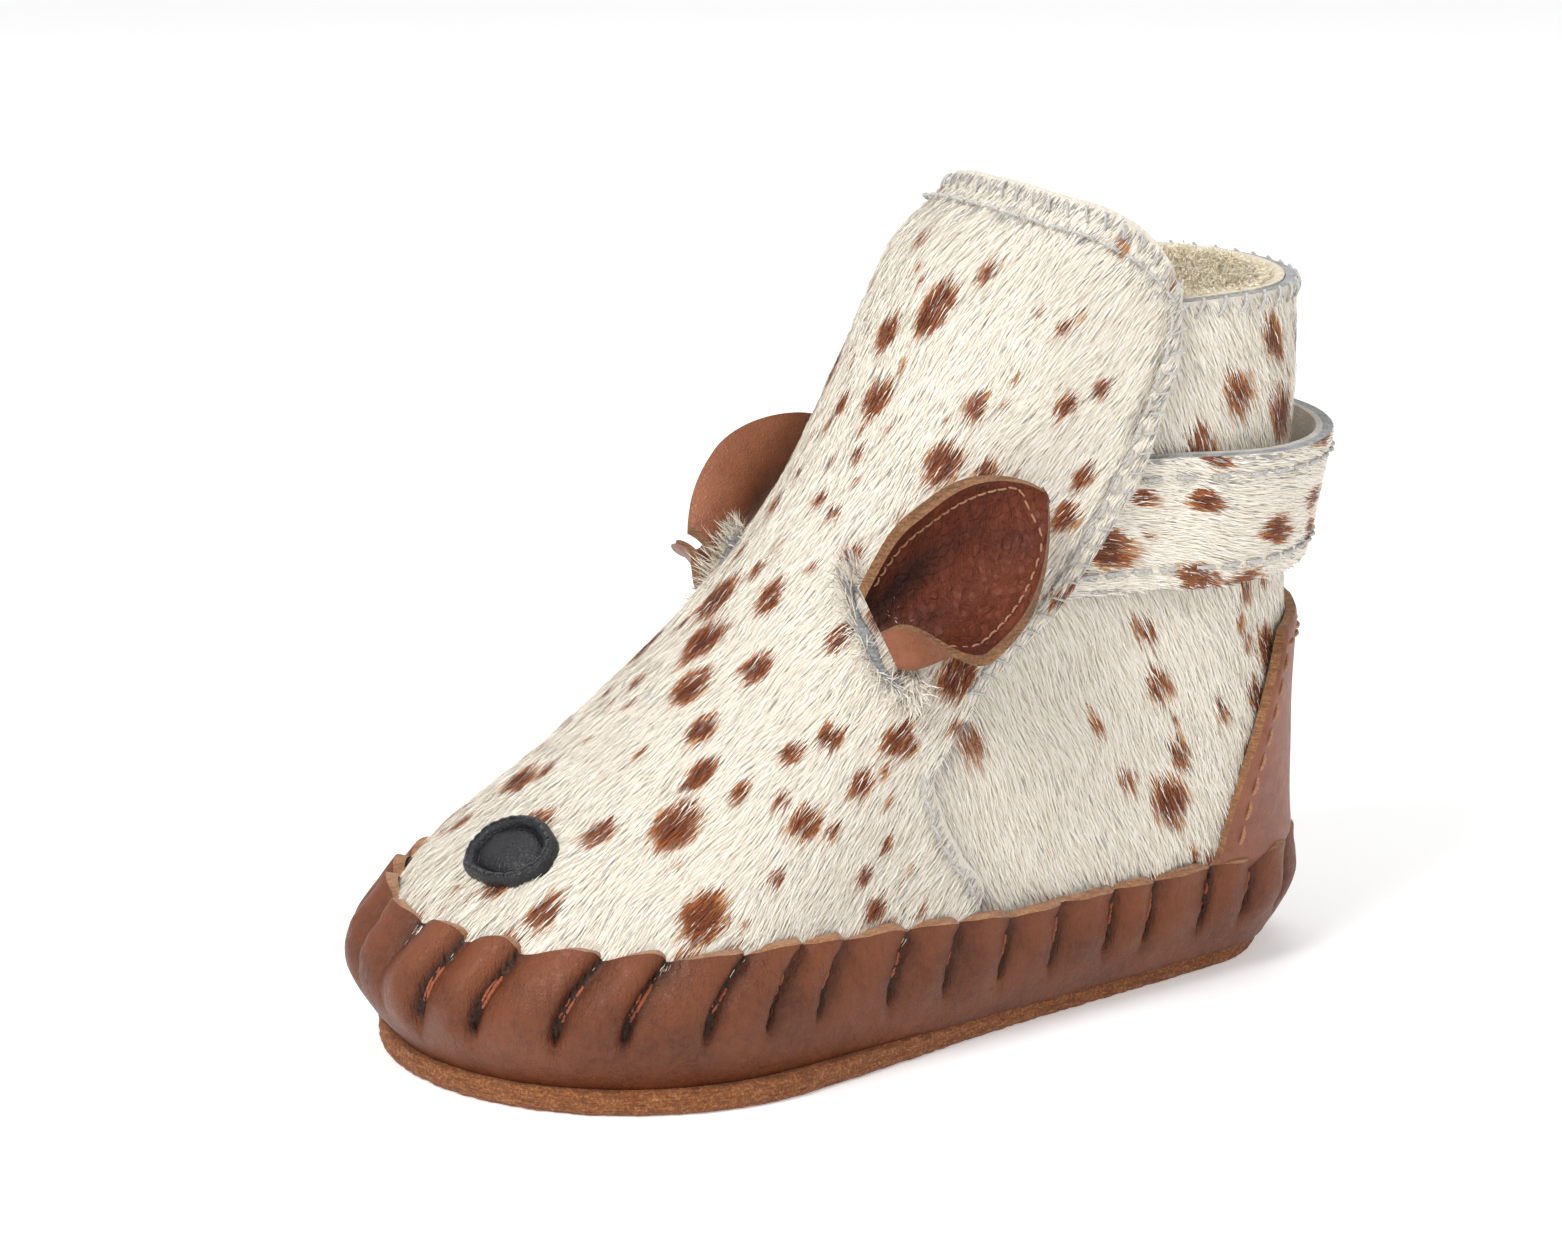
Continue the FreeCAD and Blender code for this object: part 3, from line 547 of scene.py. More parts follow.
# The cup's leather takes painted shade in its grooves and a painted highlight with wear on its
# lobes.
CUP_LEATHER = leather("cup_leather", *CUP_TAN, rough=0.44, grain=2.2, grain_height=0.035,
                      wrinkle=0.07, painted_crease_shade=True, shine=0.30)
CUP_EDGE = raw_edge("cup_raw_edge", (0.22, 0.07, 0.018), (0.42, 0.17, 0.055), (0.66, 0.34, 0.14))
SOLE_FACE = raw_edge("sole_suede", (0.20, 0.075, 0.028), (0.34, 0.14, 0.055), (0.46, 0.21, 0.09))
SOLE_RIM = raw_edge("sole_cut_edge", (0.13, 0.030, 0.006), (0.34, 0.095, 0.018), (0.66, 0.33, 0.13),
                    sheen=0.05, faded=0.15)
COUNTER = leather("counter_leather", (0.15, 0.045, 0.021), (0.215, 0.068, 0.033),
                  (0.28, 0.095, 0.050), rough=0.46, grain=2.4, grain_height=0.03)
EAR_BACK = leather("ear_back_leather", (0.15, 0.045, 0.018), (0.22, 0.070, 0.029),
                   (0.30, 0.105, 0.046), rough=0.45, grain=2.0, grain_height=0.05)
# The ear's inner face takes painted shade in its valley and at its root.
EAR_FRONT = leather("ear_front_leather", (0.056, 0.009, 0.002), (0.108, 0.020, 0.006),
                    (0.155, 0.034, 0.012), rough=0.58, grain=0.75, grain_height=0.16, wrinkle=0.16,
                    painted_crease_shade=True, shine=0.25)
EAR_EDGE = raw_edge("ear_raw_edge", (0.13, 0.050, 0.018), (0.31, 0.135, 0.048), (0.50, 0.25, 0.10),
                    sheen=0.1, faded=0.3)
BLACK = leather("nose_leather", (0.004, 0.004, 0.005), (0.009, 0.009, 0.011),
                (0.022, 0.022, 0.025), rough=0.46, grain=1.6, grain_height=0.06)
LINING_SKIN = leather("lining_leather", (0.60, 0.53, 0.46), (0.72, 0.66, 0.58), (0.80, 0.75, 0.68),
                      rough=0.6, grain=2.2, grain_height=0.04)
FLEECE = fleece_cloth("fleece", (0.88, 0.75, 0.52), (0.95, 0.87, 0.70))
GREY_THREAD = thread("grey_thread", (0.30, 0.29, 0.28), (0.66, 0.64, 0.61))
RUST_THREAD = thread("rust_thread", (0.16, 0.028, 0.007), (0.44, 0.100, 0.024))
BLACK_THREAD = thread("black_thread", (0.006, 0.006, 0.007), (0.035, 0.035, 0.04))
TAN_THREAD = thread("tan_thread", (0.22, 0.085, 0.035), (0.50, 0.25, 0.12))
BOARD = raw_edge("board", (0.35, 0.25, 0.16), (0.48, 0.36, 0.24), (0.60, 0.47, 0.33))
TAPE = fleece_cloth("tape", (0.55, 0.52, 0.46), (0.80, 0.78, 0.72))

HAIR_KINDS = [
    hair("hair_cream", (0.88, 0.815, 0.705)),
    hair("hair_white", (0.92, 0.88, 0.80)),
    hair("hair_ivory", (0.82, 0.735, 0.60)),
    hair("hair_tan", (0.58, 0.29, 0.11)),
    hair("hair_chestnut", (0.31, 0.084, 0.018)),
    hair("hair_dark", (0.15, 0.032, 0.007)),
    hair("hair_grey", (0.33, 0.32, 0.32)),
]
CREAM, WHITE, IVORY, TAN, CHESTNUT, DARK, GREY = range(len(HAIR_KINDS))


# ---------------------------------------------------------------- spots of the coat
SPOT_COUNT, SPOT_TRIES, SPOT_APART = 455, 5200, 1.3


def scatter_spots():
    """Spots all over the loft: rows of (x, y, z, radius, strength)."""
    kept = []
    centres = on_ring(rng.uniform(-0.02, 1.98, SPOT_TRIES), rng.uniform(9, 104, SPOT_TRIES))
    for centre, luck in zip(centres, rng.uniform(0, 1, SPOT_TRIES)):
        radius = 0.55 + 2.05 * luck ** 2.1
        if all(np.sum((centre - other[:3]) ** 2) > (radius + other[3] + SPOT_APART) ** 2
               for other in kept):
            kept.append(np.array([*centre, radius, 1.0 if luck > 0.30 else 0.55]))
        if len(kept) >= SPOT_COUNT:
            break
    # about half of the larger spots run together with a smaller one
    extra = []
    for spot in kept:
        if spot[3] > 1.35 and rng.uniform() < 0.55:
            shift = rng.normal(0, 1, 3)
            shift *= spot[3] * 1.15 / np.linalg.norm(shift)
            extra.append(np.array([*(spot[:3] + shift), spot[3] * rng.uniform(0.45, 0.8), 1.0]))
    return np.array(kept + extra)


SPOTS = scatter_spots()


def spot_tone(points, flow):
    """How deep in a spot each point is: 0 outside, 1 at a dark spot's middle.

    Spots are longer along flow, the way of the hair there."""
    points, flow = points.reshape(-1, 3), flow.reshape(-1, 3)
    wobble = 1 + 0.30 * lumps(points, 1.3) + 0.16 * lumps(points, 0.5, 7.0)
    best = np.zeros(len(points))
    for spot in SPOTS:
        away = points - spot[:3]
        near = np.flatnonzero((np.abs(away) < 6.5).all(1))
        if not len(near):
            continue
        away = away[near]
        along = (away * flow[near]).sum(1)
        square = (away ** 2).sum(1) - along ** 2 + (along / 1.35) ** 2
        depth = np.clip(1.35 - np.sqrt(np.maximum(square, 0)) / (spot[3] * wobble[near]), 0, 1)
        best[near] = np.maximum(best[near], depth * spot[4])
    return best


# ---------------------------------------------------------------- hairs
HAIR_WIDTH, ROOT_DEPTH = 0.12, 0.08
# three triangles a hair; a piece stays below 200,000 triangles
FRONT_HAIRS, QUARTER_HAIRS, HIDDEN_HAIRS, STRAP_HAIRS = 65000, 66000, 24000, 26000


def hair_way(axes, lean_u, lean_v):
    """The way hairs lie on a surface whose axes are given, and the way out of it."""
    along_u, along_v, out = axes
    return unit(along_u * np.asarray(lean_u)[..., None] + along_v * lean_v), out


def hairs(name, roots, flow, out, lengths, grey_share, tone, rise=0.10):
    """Short tapered hairs that lie along flow and rise a little, coloured by tone."""
    number = len(roots)
    luck = rng.uniform(0, 1, number)
    kind = np.where(luck < 0.50, CREAM, np.where(luck < 0.83, WHITE, IVORY))
    luck = rng.uniform(0, 1, number)
    kind = np.where((tone > 0.20) & (luck < 0.75), TAN, kind)
    kind = np.where((tone > 0.34) & (luck < 0.93), CHESTNUT, kind)
    kind = np.where((tone > 0.62) & (luck < 0.66), DARK, kind)
    kind = np.where(rng.uniform(0, 1, number) < grey_share, GREY, kind)
    bend = rng.normal(0, 0.10, number)[:, None] + 0.26 * lumps(roots, 7.0, 3.0)[:, None]
    side = np.cross(out, flow)
    flow = unit(flow + side * bend)
    side = unit(np.cross(out, flow) + out * rng.normal(0, 0.22, number)[:, None])
    lengths = lengths * rng.uniform(0.7, 1.25, number)
    lift = rise * rng.uniform(0.5, 1.7, number)
    half = HAIR_WIDTH / 2 * rng.uniform(0.75, 1.2, number)[:, None]
    middle = roots + flow * (lengths * 0.5)[:, None] + out * (0.12 + lift * lengths * 0.75)[:, None]
    tip = roots + flow * lengths[:, None] + out * (lift * lengths * 0.9)[:, None]
    return blades(name, roots, middle, tip, side * half, 0.9, HAIR_KINDS, kind)


def scatter(where, number):
    """Random (u, v) pairs spread evenly over the area of the panel where(u, v)."""
    u, v = rng.uniform(0, 1, (2, number * 2))
    step = 0.002
    turn, height = where(u, v)
    here = on_ring(turn, height)
    area = np.linalg.norm(np.cross(on_ring(*where(np.minimum(u + step, 1), v)) - here,
                                   on_ring(*where(u, np.minimum(v + step, 1))) - here), axis=-1)
    share = area / np.quantile(area, 0.98)
    keep = rng.uniform(0, 1, len(u)) < share
    return u[keep][:number], v[keep][:number]


def hide_shell(name, inner, outer, tone, nodes, **how):
    """A panel of hide: the skin under the fur with its spots, the cut edge and the flesh side."""
    piece = shell(name, inner, outer, [SKIN, HIDE_EDGE, HIDE_BACK])
    paint(piece, "tone", np.zeros(tone.size), tone)
    finish_piece(piece, "hair_hide", nodes, **how)


# ---------------------------------------------------------------- vamp and tongue
def front_surface(u, v):
    turn, height = front_place(u, v)
    return place(turn, height, front_lift(u, v, turn, height) - SKIN_BELOW)


def front_flow(u, v):
    """Hairs lie down and towards the toe."""
    out = frame_on(front_surface, u, v)[2]
    way = np.array([0.0, -0.70, -0.72])
    return unit(way - out * (out @ way)[..., None]), out


def build_front():
    u, v = unit_grid(201, 171)
    turn, height = front_place(u, v)
    outer = front_surface(u, v)
    inner = place(turn, height, front_lift(u, v, turn, height) - HIDE)
    hide_shell("front_hide", inner, outer, spot_tone(outer, front_flow(u, v)[0]),
               ["vamp", "tongue"], across=FRONT_BEND)


def by_slit(points):
    """Which points lie on the bare strip along an ear's slit."""
    half_long, half_wide, aside = 8.6, 2.3, 0.9
    bare = np.zeros(len(points), bool)
    for side in (1, -1):
        root, slit, leaf, _ = ear_axes(side)
        away = points - root
        bare |= ((away @ slit) / half_long) ** 2 + ((away @ leaf + aside) / half_wide) ** 2 < 1
    return bare


def front_fur():
    half_width, length_up = 54, 97      # of the panel, roughly, in millimetres
    for name, low, high in (("vamp_fur", 0.05, 0.40), ("tongue_fur", 0.40, 1.0)):
        u, v = scatter(lambda a, b: front_place(a, low + b * (high - low)), FRONT_HAIRS)
        v = low + v * (high - low)
        turn, height = front_place(u, v)
        shown = (height > cup_top(turn) - 0.5) & ~by_slit(on_ring(turn, height))
        u, v, height = u[shown], v[shown], height[shown]
        flow, out = front_flow(u, v)
        rim = np.minimum((1 - np.abs(2 * u - 1)) * half_width, (1 - v) * length_up)
        wing = ease(height, 44, 52)
        by_thread = np.exp(-((rim - 3.1) / 1.0) ** 2) * wing
        length = 3.5 - 1.5 * (1 - ease(rim, 0.0, 2.5)) - 1.6 * by_thread
        grey = 0.015 + 0.35 * (1 - ease(rim, 0.3, 1.5)) + 0.25 * by_thread
        roots = front_surface(u, v) - out * ROOT_DEPTH
        piece = hairs(name, roots, flow, out, length, grey, spot_tone(roots, flow))
        finish_piece(piece, "hair_hide", [], across=FRONT_BEND)


def build_tongue_lining():
    """Smooth leather behind the tongue; it follows the hide and stops just short of its edges."""
    i, j = unit_grid(81, 61)
    u, v = 0.5 + 0.94 * (i - 0.5), 0.50 + 0.485 * j
    turn, height = front_place(u, v)
    face = front_lift(u, v, turn, height) - HIDE
    rough = 0.10 * lumps(on_ring(turn, height), 3.0)
    piece = shell("tongue_back", place(turn, height, face - 1.0 + rough),
                  place(turn, height, face - 0.05), [LINING_SKIN, HIDE_BACK, LINING_SKIN])
    finish_piece(piece, "lining_leather", ["tongue_lining"], body="tongue")


def build_vamp_lining():
    u, v = unit_grid(81, 41)
    across = 2 * u - 1
    height = LINING_FOOT + v * (44 - 14 * across ** 2 - LINING_FOOT)
    turn = across * (quarter_turn(height) - 0.04)
    fluff = 0.35 * lumps(on_ring(turn, height), 1.4)
    face = -HIDE - LAYER_GAP
    piece = shell("vamp_lining_fleece", place(turn, height, face - LINING - fluff),
                  place(turn, height, face), [FLEECE])
    finish_piece(piece, "fleece", ["vamp_lining"], body="shoe")


# ---------------------------------------------------------------- quarter and its lining
def quarter_surface(u, v):
    turn, height = quarter_place(u, v)
    slack = 0.5 * np.sin(turn * 19) * np.sin(height * 0.11 + turn * 8)
    slack = slack * bump_between(turn, 0.65, 1.35, 0.1) * bump_between(v, 0.2, 0.85, 0.12)
    return place(turn, height, quarter_outer(turn) - SKIN_BELOW + slack)


def quarter_flow(u, v):
    """Hairs lie down the quarter and a little towards the heel."""
    return hair_way(frame_on(quarter_surface, u, v), np.where(u < 0.5, 0.36, -0.36), -1.0)


def build_quarter():
    u, v = unit_grid(261, 111)
    turn, height = quarter_place(u, v)
    outer = quarter_surface(u, v)
    inner = place(turn, height, quarter_outer(turn) - HIDE)
    hide_shell("quarter_hide", inner, outer, spot_tone(outer, quarter_flow(u, v)[0]), ["quarter"],
               body="shoe")


def quarter_fur():
    """Fur on the quarter; in front, where the tongue lies on it, it is short and thinner."""
    u, v = scatter(quarter_place, QUARTER_HAIRS + HIDDEN_HAIRS)
    turn, height = quarter_place(u, v)
    beside = np.minimum(turn, 2 - turn) - edge_turn(np.minimum(height, 92))
    covered = -0.012      # beside the tongue's edge by less than this, the quarter lies under it
    for name, shown, most in (("quarter_fur", beside > covered, QUARTER_HAIRS),
                              ("quarter_fur_under_tongue", beside <= covered, HIDDEN_HAIRS)):
        a, b, by, tall = (part[shown][:most] for part in (u, v, beside, height))
        flow, out = quarter_flow(a, b)
        top = (1 - b) * (COLLAR - PANEL_FOOT)
        length = 3.3 - 1.7 * (1 - ease(top, 0.3, 3.0)) - 1.3 * (1 - ease(by, -0.03, covered))
        seam = (1 - ease(np.abs(by), 0.002, -covered)) * (1 - ease(tall, 38, 48))
        grey = 0.015 + 0.3 * (1 - ease(top, 0.3, 1.3)) + 0.45 * seam
        roots = quarter_surface(a, b) - out * ROOT_DEPTH
        piece = hairs(name, roots, flow, out, np.maximum(length, 0.9), grey, spot_tone(roots, flow))
        finish_piece(piece, "hair_hide", [], body="shoe")


PILE = 0.9      # the fleece's pile stands this far in from the lining's cloth


def build_quarter_lining():
    u, v = unit_grid(281, 91)
    height = LINING_FOOT + v * (COLLAR + 0.2 - LINING_FOOT)
    turn = round_quarter(u, height, 0.01)
    base = quarter_outer(turn) - HIDE - LAYER_GAP
    where = on_ring(turn, height)
    fluff = 0.55 * lumps(where, 1.5) + 0.45 * lumps(where, 4.0, 5.0)
    thick = (LINING + PILE + fluff) * (1 - 0.55 * ease(v, 0.97, 1.0))
    outer = place(turn, height, base)
    inner = place(turn, height + 0.35 * lumps(where, 1.2, 9.0) * ease(v, 0.9, 1.0), base - thick)
    piece = shell("quarter_lining_fleece", inner, outer, [FLEECE], sharp=80)
    finish_piece(piece, "fleece", ["quarter_lining"], body="shoe")


def fleece_pile():
    """Curly pile standing in off the lining at the collar and down inside."""
    number = 30000
    v = 1 - rng.uniform(0, 1, number) ** 1.7 * 0.75
    u = rng.uniform(0.05, 0.95, number)
    height = PANEL_FOOT + v * (COLLAR - PANEL_FOOT)
    turn = round_quarter(u, height, 0.01)
    _, up, out = frame_at(turn, height)
    roots = place(turn, height, quarter_outer(turn) - HIDE - LINING - PILE)
    way = unit(rng.normal(0, 1, (number, 3)) + up * 0.4 - out * 0.5)
    half = unit(np.cross(way, out + 0.01)) * 0.07
    length = rng.uniform(0.6, 1.3, number)[:, None]
    curl = rng.normal(0, 0.45, (number, 3))
    middle = roots + way * length * 0.55 + curl * 0.5
    tip = roots + way * length * 0.8 - curl * 0.5
    pile = [hair("pile_cream", (0.95, 0.84, 0.62), 0.8), hair("pile_pale", (0.96, 0.90, 0.76), 0.8)]
    piece = blades("fleece_pile", roots, middle, tip, half, 1.0, pile, rng.integers(0, 2, number))
    finish_piece(piece, "fleece", [], body="shoe")


# ---------------------------------------------------------------- cup and sole
PLEATS, CUP_FOOT, CUP_THICK = 36, 2.95, 1.25


def cup_top(turn):
    """The height of the cup's edge: level round the toe, then falling towards the heel."""
    y = on_ring(turn, 22.0)[..., 1]
    behind = np.where(y < 5, 19.5 - 3 * (y + 30) / 35, 16.5 - 0.5 * (y - 5) / 75)
    return np.where(y < -30, 19.5, behind)


PLEAT_SHIFT = rng.uniform(-0.16, 0.16, PLEATS)
PLEAT_DEEP = rng.uniform(0.8, 1.2, PLEATS)
rng.uniform(0, 1, PLEATS)      # not used; it keeps the draws after it as they are
PLEAT_STARTS = (np.arange(PLEATS) + PLEAT_SHIFT) * 2 / PLEATS


def pleat_lean(turn):
    """How far round a pleat leans between the cup's top and its foot, most at the toe."""
    toe = 1 - ease(np.minimum(turn, 2 - turn), 0.2, 0.7)
    return np.where(turn < 1, 1.0, -1.0) * (0.010 + 0.022 * toe)


def pleat_at(turn, v):
    """Which pleat a place on the cup is in, and how far across it (0 to 1 between two grooves)."""
    position = np.mod(turn + pleat_lean(turn) * (1 - v), 2.0)
    starts = np.concatenate([PLEAT_STARTS, [PLEAT_STARTS[0] + 2]])
    position = np.where(position < starts[0], position + 2, position)
    which = np.clip(np.searchsorted(starts, position, side="right") - 1, 0, PLEATS - 1)
    across = (position - starts[which]) / (starts[which + 1] - starts[which])
    return which, across


def build_cup():
    around, rows = PLEATS * 26, 34
    turn, v = np.meshgrid(np.linspace(0, 2, around, endpoint=False), np.linspace(0, 1, rows),
                          indexing="ij")
    which, across = pleat_at(turn, v)
    heel = ease(np.minimum(turn, 2 - turn), 0.45, 0.8)
    share = ease(across, 0.75, 1.0)
    deep = PLEAT_DEEP[which] * (1 - share) + PLEAT_DEEP[(which + 1) % PLEATS] * share
    toeward = np.where(turn < 1, across, 1 - across)
    skew = toeward ** (1.0 + 0.8 * (1 - heel))
    lobe = np.abs(np.sin(math.pi * skew)) ** (0.36 + 0.10 * heel)
    gather = ease(v, 0.22, 0.60)
    under = 0.45 * (1 - ease(v, 0.0, 0.30))
    bulge = 0.5 * np.sin(math.pi * np.clip(v * 1.15, 0, 1))
    near_groove = np.minimum(across, 1 - across)
    slot = np.exp(-(near_groove / (0.060 - 0.030 * ease(v, 0.6, 1.0))) ** 2) * ease(v, 0.38, 0.50)
    depth = 1.35 + bulge - under + gather * deep * (1.2 * lobe - 1.5 * (1 - lobe) - 0.35)
    depth = np.maximum(depth - 1.3 * slot, 0.40)
    top = cup_top(turn) + 0.7 * lobe * deep - 0.9 + 0.35 * lumps(on_ring(turn, 20), 3.0)
    height = CUP_FOOT + v * (top - CUP_FOOT)
    where = on_ring(turn, height)
    fan = np.sin(height * 3.3 + 9 * across + 5 * which) * np.exp(-near_groove * 7) * gather
    depth = depth + 0.15 * fan + 0.22 * lumps(where, 3.2, 4.0) * gather + 0.12 * lumps(where, 9.0)
    lip = ease(v, 0.90, 1.0)
    outer = place(turn, height, depth + 0.10 * lip)
    inner = place(turn, height + 0.55 * lip * lobe, np.minimum(depth - CUP_THICK, 0.9))
    count = around * rows
    out_faces = grid_faces(around, rows, 0, close_rows=True)
    in_faces = grid_faces(around, rows, count, close_rows=True)[:, ::-1]
    ring = np.arange(around)
    after = (ring + 1) % around
    top_rim = np.stack([ring * rows + rows - 1, ring * rows + rows - 1 + count,
                        after * rows + rows - 1 + count, after * rows + rows - 1], -1)
    low_rim = np.stack([ring * rows + count, ring * rows, after * rows, after * rows + count], -1)
    points = np.concatenate([outer.reshape(-1, 3), inner.reshape(-1, 3)])
    quads = np.concatenate([out_faces, in_faces, top_rim, low_rim])[:, ::-1]
    kinds = np.repeat([0, 1], [len(out_faces), len(quads) - len(out_faces)])
    piece = new_mesh("pleated_cup", points, [CUP_LEATHER, CUP_EDGE], quads, quad_kind=kinds,
                     sharp=55)
    # Painted shade: darker in the grooves, between the lobes and along the cup's foot by the sole.
    painted_crease_shade = slot + gather * (1 - lobe) ** 1.2 * 0.9 + 0.55 * (1 - ease(v, 0.0, 0.10))
    paint(piece, "painted_crease_shade", np.clip(painted_crease_shade, 0, 1), np.zeros(count))
    # Painted highlight with rubbed wear: lighter on the upper tops of the lobes.
    paint(piece, "wear_and_painted_highlight", gather * lobe ** 3 * ease(v, 0.4, 0.95), np.zeros(count))
    finish_piece(piece, "cup_leather", ["moccasin_cup"], body="shoe")


SOLE_SHIFT = -1.5      # the toe's circle lies this far towards the big toe


def build_sole():
    around = 520
    turn = np.linspace(0, 2, around, endpoint=False)

    def outline(grow):
        x, y = round_two(turn, SOLE_SHIFT, -67 - grow, 32 + grow, 56 + grow, 17.5 + grow)
        waist = 0.9 * np.exp(-((y - 6) / 22) ** 2)
        return np.stack([x - np.sign(x) * waist, y], -1)
    flat = at_height(outline(0.0), 0.0)
    shred = 0.24 * lumps(flat, 0.9) + 0.20 * lumps(flat, 2.6, 3.0)
    way = unit(flat + [0, 3, 0])
    # heights, and how far each ring stands out from the sole's outline
    layers = [(0.0, -14.0), (0.0, -6.0), (0.0, -1.0), (0.12, -0.3), (0.5, 0.05), (1.1, 0.3),
              (1.7, 0.2), (2.2, 0.35), (2.7, 0.15), (3.0, -0.3), (3.05, -1.5), (3.05, -6.0),
              (3.05, -14.0)]
    rings = []
    for k, (height, grow) in enumerate(layers):
        rough = (grow > -1) * (shred + 0.16 * lumps(flat + [0, 0, 7.0 * k], 1.1))
        rings.append(at_height(outline(grow), height) + way * rough[:, None])
    face_rows, rim_rows = 2, 8
    kinds = np.repeat([0, 1, 0], np.multiply([face_rows, rim_rows, face_rows], around))
    piece = capped_rings("suede_outsole", rings, [[0, 3, 0.0], [0, 3, 3.05]],
                         [SOLE_FACE, SOLE_RIM], kinds, sharp=60)
    finish_piece(piece, "suede", ["outsole"], body="shoe")


def build_footbed():
    u, v = unit_grid(61, 121)
    right, left = (np.stack(round_two(turn, SOLE_SHIFT, -61.5, 26.5, 50.5, 12.0), -1)
                   for turn in (v, 2 - v))
    plan = right * (1 - u[..., None]) + left * u[..., None]
    edge = ease(np.minimum(u, 1 - u), 0, 0.06)
    where = at_height(plan, 9.0)
    top = 8.4 + 1.2 * edge + 0.35 * lumps(where, 1.6) + 0.3 * lumps(where, 6.0)
    piece = shell("footbed_fleece", at_height(plan, 6.1), at_height(plan, top), [FLEECE], sharp=80)
    finish_piece(piece, "fleece", ["footbed"], body="shoe")


# ---------------------------------------------------------------- strap and heel counter
def strap_points(u, v, offset):
    turn, height = strap_place(u, v)
    return place(turn, height, strap_base(turn, height) + strap_stand(turn, v) + offset)


def build_strap():
    u, v = unit_grid(261, 25)
    turn, height = strap_place(u, v)
    wave = 0.25 * lumps(on_ring(turn, height), 12.0, 1.0)
    flesh = STRAP_LINING + LAYER_GAP
    outer = strap_points(u, v, flesh + STRAP_HIDE - SKIN_BELOW + wave)
    hide_shell("strap_hide", strap_points(u, v, flesh), outer, strap_tone(u, v),
               ["strap_root", "strap_end"], across=STRAP_BEND)
    piece = shell("strap_lining", strap_points(u, v, -LAYER_GAP / 2),
                  strap_points(u, v, STRAP_LINING + LAYER_GAP / 2),
                  [LINING_SKIN, HIDE_BACK, LINING_SKIN])
    finish_piece(piece, "lining_leather", ["strap_root_lining", "strap_end_lining"],
                 across=STRAP_BEND)


def strap_skin(u, v):
    return strap_points(u, v, STRAP_LINING + STRAP_HIDE - 0.05)


def strap_tone(u, v):
    """The strap's spots are the loft's own from further round, so that they don't line up."""
    turn, height = strap_place(u, v)
    around, up, _ = frame_at(turn, height)
    return spot_tone(on_ring(turn - 0.17, height), unit(around - 0.18 * up))


def strap_fur():
    u, v = rng.uniform(0, 1, (2, STRAP_HAIRS))
    flow, out = hair_way(frame_on(strap_skin, u, v), 1.0, -0.18)
    rim = np.minimum(v, 1 - v) * (STRAP_HIGH - STRAP_LOW)
    by_thread = np.exp(-((rim - 2.5) / 0.8) ** 2)
    length = 3.0 - 1.0 * (1 - ease(rim, 0.2, 1.6)) - 1.3 * by_thread
    length = length * (1 - 0.6 * ease(u, 0.985, 1.0))
    grey = 0.02 + 0.25 * (1 - ease(rim, 0.3, 1.2)) + 0.15 * by_thread
    piece = hairs("strap_fur", strap_skin(u, v) - out * ROOT_DEPTH, flow, out, length, grey,
                  strap_tone(u, v), rise=0.08)
    finish_piece(piece, "hair_hide", [], across=STRAP_BEND)


def build_patches():
    """Hook tape under the strap's tip, and loop tape on the tongue, pile to pile."""
    u, v = unit_grid(25, 61)
    turn, height = 1.604 + 0.024 * u, 62.25 + 12.0 * (v - 0.5)
    pile, thick = 0.12 * lumps(on_ring(turn, height), 0.5), 0.7
    on_strap = strap_base(turn, height) + strap_stand(turn, v) - 0.8
    for name, slot, node, body, low, high in (
            ("strap_hook_patch", "hook_tape", "hook_patch", "strap", on_strap - pile,
             on_strap + thick),
            ("tongue_loop_patch", "loop_tape", "loop_patch", "tongue", 0.1, 0.1 + thick + pile)):
        piece = shell(name, place(turn, height, low), place(turn, height, high), [TAPE], sharp=70)
        finish_piece(piece, slot, [node], body=body)


def counter_place(u, v):
    across = 2 * u - 1
    foot, top = 10, 47.0 - 2.0 * across ** 2
    return 1 + across * (0.218 - 0.022 * v), foot + v * (top - foot)


def build_counter():
    u, v = unit_grid(121, 61)
    turn, height = counter_place(u, v)
    where = on_ring(turn, height)
    rim = np.minimum(np.minimum(u, 1 - u) * 90, (1 - v) * 37)
    rounded = -0.35 * (1 - ease(rim, 0, 0.9))
    outer_depth = 0.25 + 0.5 * v ** 2 + 1.5 + rounded + 0.14 * lumps(where, 8.0)
    under_cup = 1 - ease(height, cup_top(turn) - 3.0, cup_top(turn) + 0.3)
    outer_depth = outer_depth * (1 - under_cup) + 0.34 * under_cup
    outer = place(turn, height + 0.25 * lumps(where, 2.0) * (1 - ease(rim, 0, 1)), outer_depth)
    inner = place(turn, height, 0.15 + 0.5 * v ** 2)
    piece = shell("heel_counter_leather", inner, outer, [COUNTER, CUP_EDGE, CUP_EDGE], sharp=45)
    finish_piece(piece, "counter_leather", ["heel_counter"], body="shoe")


# ---------------------------------------------------------------- nose
NOSE_LONG, NOSE_WIDE = 7.0, 5.25      # half its length and half its width


def nose_axes():
    turn, height = 0.025, 27.3
    return place(turn, height, 0.45), *frame_at(turn, height)


def nose_point(angle, share, rise):
    """A point of the nose, share of the way out to its outline."""
    root, around, up, out = nose_axes()
    wobble = (1 + 0.018 * np.sin(2 * angle + 0.6) + 0.014 * np.sin(5 * angle)
              + 0.01 * np.sin(9 * angle + 2))
    long = NOSE_LONG * np.cos(angle) * wobble * share
    wide = NOSE_WIDE * np.sin(angle) * wobble * share
    lean = 0.35 * np.cos(angle) ** 2 * np.sin(angle) * share
    follow = long ** 2 / 56 + wide ** 2 / 120      # the toe falls away below it
    return (root + np.multiply.outer(long, around) + np.multiply.outer(wide + lean, up)
            + np.multiply.outer(0.8 * rise - 0.15 - follow, out))


